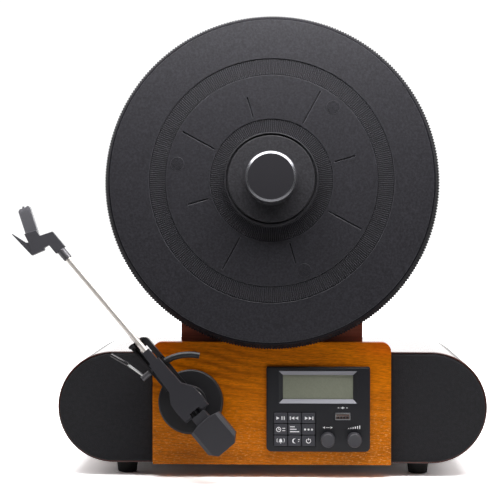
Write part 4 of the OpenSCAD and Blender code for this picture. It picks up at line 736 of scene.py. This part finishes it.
def key_symbols():
    """Plain symbols for the nine keys, drawn round each key's middle."""
    bell = [(-1.5, -0.9), (1.5, -0.9), (1.0, -0.3), (0.9, 0.8), (0.45, 1.4), (-0.45, 1.4), (-0.9, 0.8),
            (-1.0, -0.3)]
    return [
        [arrow(-2.0, 0, 1.25), bar(0.9, -1.25, 0.9, 1.25, 0.7), bar(2.5, -1.25, 2.5, 1.25, 0.7)],
        [bar(-3.0, -1.2, -3.0, 1.2, 0.6), arrow(-1.1, 0, 1.15, -1), arrow(1.6, 0, 1.15, -1)],
        [arrow(-1.6, 0, 1.15), arrow(1.1, 0, 1.15), bar(3.0, -1.2, 3.0, 1.2, 0.6)],
        arc(-1.4, 0, 1.5, 0, 360, 0.45, 20) + [bar(-1.4, -0.1, -1.4, 1.0, 0.4), bar(-1.4, 0, -0.5, 0, 0.4),
                                              bar(1.2, 0.8, 3.2, 0.8), bar(1.2, -0.8, 3.2, -0.8)],
        [bar(-3.2, 1.9, 0.2, 1.9, 0.6), bar(-3.2, 0.2, 1.4, 0.2, 0.6), bar(-3.2, -1.5, 3.2, -1.5, 0.6)],
        [dot(-2.4, 0, 0.75), dot(0, 0, 0.75), dot(2.4, 0, 0.75)],
        [bell, dot(0, -1.5, 0.4)] + arc(0, 0.3, 2.6, 150, 210, 0.4, 5) + arc(0, 0.3, 2.6, -30, 30, 0.4, 5),
        crescent(1.7) + [bar(2.4, 0.9, 3.6, 0.9, 0.45), bar(2.4, -0.4, 3.2, -0.4, 0.45)],
        arc(0, 0, 1.5, 120, 420, 0.5, 16) + [bar(0, 0.4, 0, 2.0, 0.5)],
    ]


def add_print(name, strokes, body, face):
    """Thin white marks that lie on a face."""
    marks = Shape()
    for outline in strokes:
        marks.prism(outline, face - 0.05, face + 0.06)
    return add_piece(name, marks, FRONT, body, PRINT, (), crease=20)


def control_panel():
    """The bezel with its display, nine keys, socket and two knobs."""
    bezel = dressed("control_panel", "root", BEZEL, 0.35)
    # only the slopes that face up or down take the light finish, the side slopes stay dark: painted
    # reflection
    bezel.data.materials.append(WINDOW_SLOPES_PAINTED_LIGHT.material)
    for face in bezel.data.polygons:
        sunk = face.center.z > WINDOW_FROM_Z * 0.001 and face.center.y > -WINDOW_EDGE * 0.001
        if sunk and 0.2 < abs(face.normal.y) < 0.95 and abs(face.normal.z) > 0.2:
            face.material_index = 1
    painted("display_glass", DISPLAY)
    painted("display_module", CIRCUIT)
    painted("button_board", CIRCUIT)
    painted("rotary_controls", STEEL)
    for index, strokes in enumerate(key_symbols()):
        key(index, strokes)
    small_knob("tune_knob", "tuning", TUNE_X)
    small_knob("volume_knob", "volume", VOLUME_X)
    panel_print()
    data_socket()


def key(index, strokes):
    """A key with its stem and its printed symbol."""
    x, z = key_centre(index)
    face = PANEL_FACE + KEY_RISE
    node, body = f"button_{index + 1}", f"key_{index + 1}"
    cap = Shape()
    cap.block((x - KEY_HALF_W, z - KEY_HALF_H, face - 2), (x + KEY_HALF_W, z + KEY_HALF_H, face), 0.8, 0.4)
    cap.block((x - 2.5, z - 2, face - 8.5), (x + 2.5, z + 2, face - 1.5))
    add_piece(node + "_cap", cap, FRONT, body, KEY_PLASTIC, [node], crease=40)
    symbol = [[(x + SYMBOL_SCALE * a, z + SYMBOL_SCALE * b) for a, b in outline] for outline in strokes]
    add_print(node + "_symbol", symbol, body, face)


def small_knob(node, body, x):
    """A small ridged knob with a chamfered, slightly dished face."""
    knob = Shape()
    face = PANEL_FACE + KNOB_L
    knob.spin([(3.0, face - 21.4), (3.0, face - 11.6), (KNOB_R - 0.4, face - 11.6), (KNOB_R, face - 11.1),
               (KNOB_R - 0.2, face - 1.1), (KNOB_R - 0.4, face - 0.6), (KNOB_R - 1, face),
               (4.7, face - 0.12), (0, face - 0.2), (0, face - 21.4)], 4 * KNOB_RIDGES, (x, KNOB_Z),
              closed=False)
    grooves = knob.columns(KNOB_RIDGES, KNOB_R - 0.35, KNOB_R + 0.05, face - 11.2, face - 0.6,
                           (x, KNOB_Z))
    bmesh.ops.translate(knob.bm, vec=(-x, -KNOB_Z, 0), verts=grooves)
    bmesh.ops.scale(knob.bm, vec=(0.975, 0.975, 1), verts=grooves)
    bmesh.ops.translate(knob.bm, vec=(x, KNOB_Z, 0), verts=grooves)
    add_piece(node + "_finished", knob, FRONT, body, KNOB_PLASTIC, [node], crease=50)


def panel_print():
    """Plain marks: a dotted line over the socket, two arrows for tuning, and rising bars for volume."""
    x, z = SOCKET_X, SOCKET_MARK_Z
    marks = [bar(x - 1.7, z, x + 1.7, z, 0.55), bar(x - 4.3, z, x - 3, z, 0.55), dot(x, z, 0.95),
             bar(x + 3, z, x + 4.3, z, 0.55)]
    x, z = TUNE_X, KNOB_MARK_Z
    marks += [arrow(x - 3.3, z, 1.05, -1), bar(x - 1.7, z, x + 1.7, z, 0.5), arrow(x + 3.3, z, 1.05)]
    for k in range(6):
        x = VOLUME_X - 4.8 + 1.9 * k
        marks.append(bar(x, z - 1, x, z - 0.4 + 0.45 * k, 0.9))
    add_print("panel_print", marks, "root", PANEL_FACE)


def data_socket():
    """The flat socket: a bright metal shell, a white tongue and four contacts on their bed."""
    x, z, face = SOCKET_X, SOCKET_Z, PANEL_FACE
    half_w, half_h = SOCKET_HALF_W, SOCKET_HALF_H
    shell = Shape()
    shell.block((x - half_w, z - half_h, face - 13.6), (x + half_w, z + half_h, face + 0.6), 0.4, 0.2)
    mouth = max(shell.bm.faces, key=lambda f: f.calc_center_median().z)
    bmesh.ops.inset_region(shell.bm, faces=[mouth], thickness=0.35, depth=0, use_even_offset=True)
    hole = bmesh.ops.extrude_face_region(shell.bm, geom=[mouth])["geom"]
    bmesh.ops.delete(shell.bm, geom=[mouth], context="FACES")
    depth = 9
    floor = face - depth
    sunk = [g for g in hole if isinstance(g, bmesh.types.BMVert)]
    bmesh.ops.translate(shell.bm, vec=(0, 0, -depth), verts=sunk)
    tongue_half_w = half_w - 0.8
    shell.finish = 1
    shell.block((x - tongue_half_w, z + 0.2, floor), (x + tongue_half_w, z + 1.9, face + 0.2), 0, 0.1)
    shell.finish = 2
    shell.block((x - tongue_half_w, z - 2.3, floor), (x + tongue_half_w, z + 0.2, face - 0.6))
    shell.finish = 3
    for k in range(4):
        middle = x - 3.9 + 2.6 * k
        shell.block((middle - 0.75, z - 1.9, floor + 0.1), (middle + 0.75, z - 0.1, face - 0.5))
    add_piece("data_socket_finished", shell, FRONT, "root", [STEEL, PRINT, SOCKET_BED, BLACK_PLASTIC],
              ["data_socket"], crease=30)


# Deck and platter

def deck_parts():
    """The riser with its cover and deck plate, and what drives the platter."""
    # the riser in the lightened wood: painted fill light
    dressed("riser_housing", "root", RISER_WOOD_PAINTED_FILL, 0.8)
    dressed("riser_cover", "root", BLACK_PLASTIC, 0.4)
    dressed("deck_plate", "root", BLACK_PLASTIC, 0.3)
    for node, finish in (("bearing_bush", BRASS), ("spindle", STEEL), ("motor", STEEL),
                         ("motor_grommets", RUBBER), ("motor_pulley", BRASS), ("drive_belt", RUBBER)):
        painted(node, finish)


def ribbed_ring(name, edges, ribs):
    """A sunk ring with fine radial ribs: painted shade darkens the crests and a painted highlight lightens
    the flanks and grooves.
    """
    inner, outer = edges
    section = [(inner, RIB_FOOT), (outer, RIB_FOOT), (outer, RIB_TOP), (inner, RIB_TOP)]
    ring = Shape().spin(section, ribs * 4)
    low = ring.columns(ribs, inner - 1, outer + 1, RIB_TOP - 0.1, 0, share=0.25)
    bmesh.ops.translate(ring.bm, vec=(0, 0, -RIB_DEPTH), verts=low)
    # painted shade on the crests, painted highlight on the flanks and grooves
    for face in ring.bm.faces:
        face.material_index = 1 if min(v.co.z for v in face.verts) > RIB_TOP - 0.1 else 0
    add_piece(name, ring, DECK, "platter", [RIB_FLANK_PAINTED_HIGHLIGHT, RIB_CREST_PAINTED_SHADE], (), crease=15)


def platter():
    """The platter's face, its two ribbed rings, its toothed rim and its three plugs."""
    disc = dressed("platter", "platter", PLATTER_PLASTIC, 0.35, crease=25)
    # the rounded edges take the lighter finish: painted highlight lines on every edge of the platter
    disc.data.materials.append(EDGE_HIGHLIGHT_PLASTIC.material)
    disc.modifiers["rounded edges"].material = 1
    ribbed_ring("outer_ribs", OUTER_RIBS, OUTER_RIB_COUNT)
    ribbed_ring("inner_ribs", INNER_RIBS, INNER_RIB_COUNT)
    rim = Shape().spin([(FACE_R - 2.2, -6.0), (FACE_R - 2.2, -8.0), (FACE_R - 0.2, -8.0),
                        (FACE_R - 0.2, -RIM_DEPTH), (RIM_R - 0.1, -RIM_DEPTH), (RIM_R, 1.5 - RIM_DEPTH),
                        (RIM_R - 2.7, -4.6), (RIM_R - 3.1, -3.6), (FACE_R + 1.6, -1.0),
                        (FACE_R + 1.1, -0.35), (FACE_R + 0.4, -0.1), (FACE_R + 0.05, -0.5),
                        (FACE_R + 0.05, -6.0)], 4 * TEETH)
    between = rim.columns(TEETH, RIM_R - 2.8, RIM_R + 0.7, -RIM_DEPTH - 0.1, -4.5)
    in_by = 1 - TOOTH_DEPTH / RIM_R
    bmesh.ops.scale(rim.bm, vec=(in_by, in_by, 1), verts=between)
    # the toothed rim in the darker plastic: painted shade of the teeth
    add_piece("platter_rim_finished", rim, DECK, "platter", RIM_PLASTIC_PAINTED_SHADE, ["platter_rim"],
              crease=22)
    painted("drive_ring", RIM_PLASTIC_PAINTED_SHADE)
    plugs = Shape()
    for k in range(3):
        a = math.radians(PLUG_ANGLE + 120 * k)
        plug(plugs, PLUG_CIRCLE * math.cos(a), PLUG_CIRCLE * math.sin(a))
    add_piece("plugs_finished", plugs, DECK, "platter", PLATTER_PLASTIC, ["platter_plugs"],
              crease=35)


def plug(plugs, x, y):
    """A round plug with a groove inside its edge and a mesh of small studs."""
    plugs.spin([(0, -2), (PLUG_R, -2), (PLUG_R, PLUG_TOP - 0.2), (PLUG_R - 0.2, PLUG_TOP),
                (PLUG_R - 0.9, PLUG_TOP), (PLUG_R - 1.05, PLUG_TOP - 0.25), (PLUG_R - 1.25, PLUG_TOP - 0.25),
                (PLUG_R - 1.4, PLUG_TOP), (0, PLUG_TOP)], 40, (x, y), closed=False)
    for i in range(-3, 4):
        for j in range(-3, 4):
            across, up = i * 1.15 + 0.55 * (j % 2), j
            if math.hypot(across, up) < PLUG_R - 2.05:
                plugs.rod((x + across, y + up, PLUG_TOP - 0.1), (x + across, y + up, PLUG_TOP + 0.2),
                          0.36, 0.24, 8)


def clamp():
    """The record clamp: a flange with a groove round its edge, and a tall round knob."""
    lip = [(CLAMP_R - 0.3, 0.3), (CLAMP_R, 0.7), (CLAMP_R, FLANGE_TOP - 1.3),
           (CLAMP_R - 0.3, FLANGE_TOP - 0.7), (CLAMP_R - 0.8, FLANGE_TOP - 0.6),
           (GROOVE_OUT, FLANGE_TOP - 0.9)]
    groove = [(GROOVE_OUT, GROOVE_LOW), (GROOVE_IN, GROOVE_LOW)]
    top = [(GROOVE_IN - 0.1, FLANGE_TOP - 0.3), (GROOVE_IN - 0.5, FLANGE_TOP),
           (CLAMP_KNOB_R + 1.3, FLANGE_TOP), (CLAMP_KNOB_R + 0.5, FLANGE_TOP + 0.3),
           (CLAMP_KNOB_R + 0.1, FLANGE_TOP + 1.1), (CLAMP_KNOB_R, FLANGE_TOP + 3.5)]
    bore = [(CLAMP_BORE, FLANGE_TOP + 3.5), (CLAMP_BORE, 0.3)]
    flange = Shape().spin(lip + groove + top + bore, 180)
    add_piece("clamp_flange", flange, DECK, "clamp", CLAMP_PLASTIC, (), crease=40)
    knob = Shape().spin([(0, 15.8), (CLAMP_KNOB_R + 0.05, 15.8), (CLAMP_KNOB_R, CLAMP_TOP - 2.1),
                         (CLAMP_KNOB_R - 0.2, CLAMP_TOP - 1.7), (CLAMP_KNOB_R - 0.6, CLAMP_TOP - 1.3),
                         (CLAMP_KNOB_R - 2.5, CLAMP_TOP - 0.1), (CLAMP_KNOB_R - 2.9, CLAMP_TOP),
                         (0, CLAMP_TOP)], 180, closed=False)
    # the chamfer round the knob's face takes the light finish: painted highlight
    for face in knob.bm.faces:
        on_chamfer = CLAMP_TOP - 1.45 < face.calc_center_median().z < CLAMP_TOP - 0.06
        face.material_index = 1 if on_chamfer else 0
    add_piece("clamp_knob", knob, DECK, "clamp", [KNOB_FACE, KNOB_EDGE_PAINTED_HIGHLIGHT], ["record_clamp"],
              crease=40)


# Tonearm

def tonearm():
    """The arm on its base and rest, with its weight, tube, head and guard, and the cue lever."""
    dressed("arm_base", "root", BASE_PLASTIC, 0.35)
    dressed("arm_rest", "root", BASE_PLASTIC, 0.3)
    painted("arm_bush", BRASS)
    dressed("arm_yoke", "swing", ARM_PLASTIC, 0.25)
    dressed("arm_housing", "arm", ARM_PLASTIC, 0.7)
    # the chrome screw heads in white: painted glint
    painted("pivot_screws", CHROME_PAINTED_WHITE)
    painted("tracking_spring", STEEL)
    dressed("counterweight", "arm", WEIGHT_PAINT, 0.7)
    dressed("headshell", "arm", SHELL_PLASTIC, 0.5)
    dressed("cartridge", "arm", BLACK_PLASTIC, 0.2)
    painted("stylus", BLACK_PLASTIC)
    dressed("stylus_guard", "guard", GUARD, 0.35)
    tube = Shape().rod((TUBE_START, 0, TUBE_Z), (TUBE_END, 0, TUBE_Z), TUBE_R, sides=40)
    add_piece("arm_tube_finished", tube, ARM, "arm", TUBE_METAL, ["arm_tube"], crease=50)
    collar = Shape().rod((COLLAR_START, 0, TUBE_Z), (COLLAR_END, 0, TUBE_Z), COLLAR_R, sides=40)
    add_piece("arm_collar_finished", collar, ARM, "arm", COLLAR, ["arm_collar"], 0.35, crease=50)
    # the chrome lever rod in white: painted glint
    lever = dressed("cue_lever", "cue", CHROME_PAINTED_WHITE, 0.2)
    lever.data.materials.append(COLLAR.material)
    for face in lever.data.polygons:
        if face.center.x > BARREL_FROM_X * 0.001:
            face.material_index = 1
    dressed("cue_grip", "cue", GRIP_METAL, 0.4)
    dressed("cue_lifter", "lifter", BLACK_PLASTIC, 0.3)


# Studio

def floor_material():
    """Pale floor that the camera sees white; far towards the camera it throws little light back."""
    made = Finish("studio floor", grey(0.9), 0.7)
    seen = made.add("ShaderNodeBsdfDiffuse")
    seen.inputs["Color"].default_value = grey(FLOOR_SEEN)
    thrown = made.add("ShaderNodeBsdfDiffuse")
    split = made.add("ShaderNodeSeparateXYZ")
    made.link(made.place(), split.inputs[0])
    near = made.add("ShaderNodeMapRange", interpolation_type="SMOOTHSTEP")
    for key, value in (("From Min", -0.6), ("From Max", -0.15), ("To Min", FLOOR_FAR),
                       ("To Max", FLOOR_NEAR)):
        near.inputs[key].default_value = value
    made.link(split.outputs["Y"], near.inputs["Value"])
    made.link(near.outputs[0], thrown.inputs["Color"])
    ray = made.add("ShaderNodeLightPath")
    choice = made.add("ShaderNodeMixShader")
    made.link(ray.outputs["Is Camera Ray"], choice.inputs[0])
    made.link(thrown.outputs[0], choice.inputs[1])
    made.link(seen.outputs[0], choice.inputs[2])
    made.link(choice.outputs[0], made.out.inputs[0])
    return made.material


def studio_floor():
    """A plain floor just under the feet."""
    bm = bmesh.new()
    bmesh.ops.create_grid(bm, x_segments=1, y_segments=1, size=6)
    bmesh.ops.translate(bm, vec=(0, 1, -FLOOR_DROP), verts=bm.verts)
    mesh = bpy.data.meshes.new("studio_floor")
    bm.to_mesh(mesh)
    bm.free()
    mesh.materials.append(floor_material())
    floor = bpy.data.objects.new("studio_floor", mesh)
    bpy.context.scene.collection.objects.link(floor)


def soft_box(name, at, aim, width, height, power):
    """A square or oblong lamp that points at its aim."""
    data = bpy.data.lights.new(name, "AREA")
    data.shape = "RECTANGLE"
    data.size, data.size_y = width, height
    data.energy = power
    lamp = bpy.data.objects.new(name, data)
    lamp.location = at
    lamp.rotation_euler = (Vector(aim) - Vector(at)).to_track_quat("-Z", "Y").to_euler()
    bpy.context.scene.collection.objects.link(lamp)


def studio_world():
    """White behind and above, dark in front, and plain white to the camera."""
    world = bpy.data.worlds.new("white studio")
    world.use_nodes = True
    nodes, links = world.node_tree.nodes, world.node_tree.links
    nodes.clear()
    out = nodes.new("ShaderNodeOutputWorld")
    seen = nodes.new("ShaderNodeBackground")
    felt = nodes.new("ShaderNodeBackground")
    seen.inputs["Color"].default_value = grey(1.0)
    seen.inputs["Strength"].default_value = WORLD_SEEN
    felt.inputs["Color"].default_value = grey(1.0)
    coords = nodes.new("ShaderNodeTexCoord")
    split = nodes.new("ShaderNodeSeparateXYZ")
    links.new(coords.outputs["Generated"], split.inputs[0])

    def blend(low_at, high_at, high, source):
        ramp = nodes.new("ShaderNodeMapRange")
        ramp.interpolation_type = "SMOOTHSTEP"
        for key, value in (("From Min", low_at), ("From Max", high_at), ("To Min", 0.0), ("To Max", high)):
            ramp.inputs[key].default_value = value
        links.new(source, ramp.inputs["Value"])
        return ramp.outputs[0]

    back = blend(-0.15, 0.45, 1.0, split.outputs["Y"])
    top = blend(0.35, 0.95, WORLD_TOP / WORLD_BACK, split.outputs["Z"])
    most = nodes.new("ShaderNodeMath")
    most.operation = "MAXIMUM"
    links.new(back, most.inputs[0])
    links.new(top, most.inputs[1])
    glow = nodes.new("ShaderNodeMapRange")
    glow.inputs["To Min"].default_value = WORLD_FRONT
    glow.inputs["To Max"].default_value = WORLD_BACK
    links.new(most.outputs[0], glow.inputs["Value"])
    links.new(glow.outputs[0], felt.inputs["Strength"])
    path = nodes.new("ShaderNodeLightPath")
    choose = nodes.new("ShaderNodeMixShader")
    links.new(path.outputs["Is Camera Ray"], choose.inputs[0])
    links.new(felt.outputs[0], choose.inputs[1])
    links.new(seen.outputs[0], choose.inputs[2])
    links.new(choose.outputs[0], out.inputs[0])
    bpy.context.scene.world = world


def studio():
    """A white studio: pale floor, a large soft box overhead and a weak one at the front right."""
    bpy.context.scene.view_settings.view_transform = "Standard"
    studio_floor()
    soft_box("overhead_softbox", OVERHEAD_AT, OVERHEAD_AIM, 0.8, 0.3, OVERHEAD)
    soft_box("front_right_softbox", FRONT_RIGHT_AT, FRONT_RIGHT_AIM, 0.7, 0.7, FRONT_RIGHT)
    studio_world()


def camera():
    """The camera of the photo."""
    data = bpy.data.cameras.new("camera")
    data.lens = LENS
    data.sensor_width = 36
    data.clip_start = 0.01
    eye = bpy.data.objects.new("camera", data)
    eye.location = CAMERA_AT
    eye.rotation_euler = (Vector(CAMERA_AIM) - eye.location).to_track_quat("-Z", "Y").to_euler()
    bpy.context.scene.collection.objects.link(eye)
    bpy.context.scene.camera = eye


cabinet()
speaker_cloths()
control_panel()
deck_parts()
platter()
clamp()
tonearm()
studio()
camera()
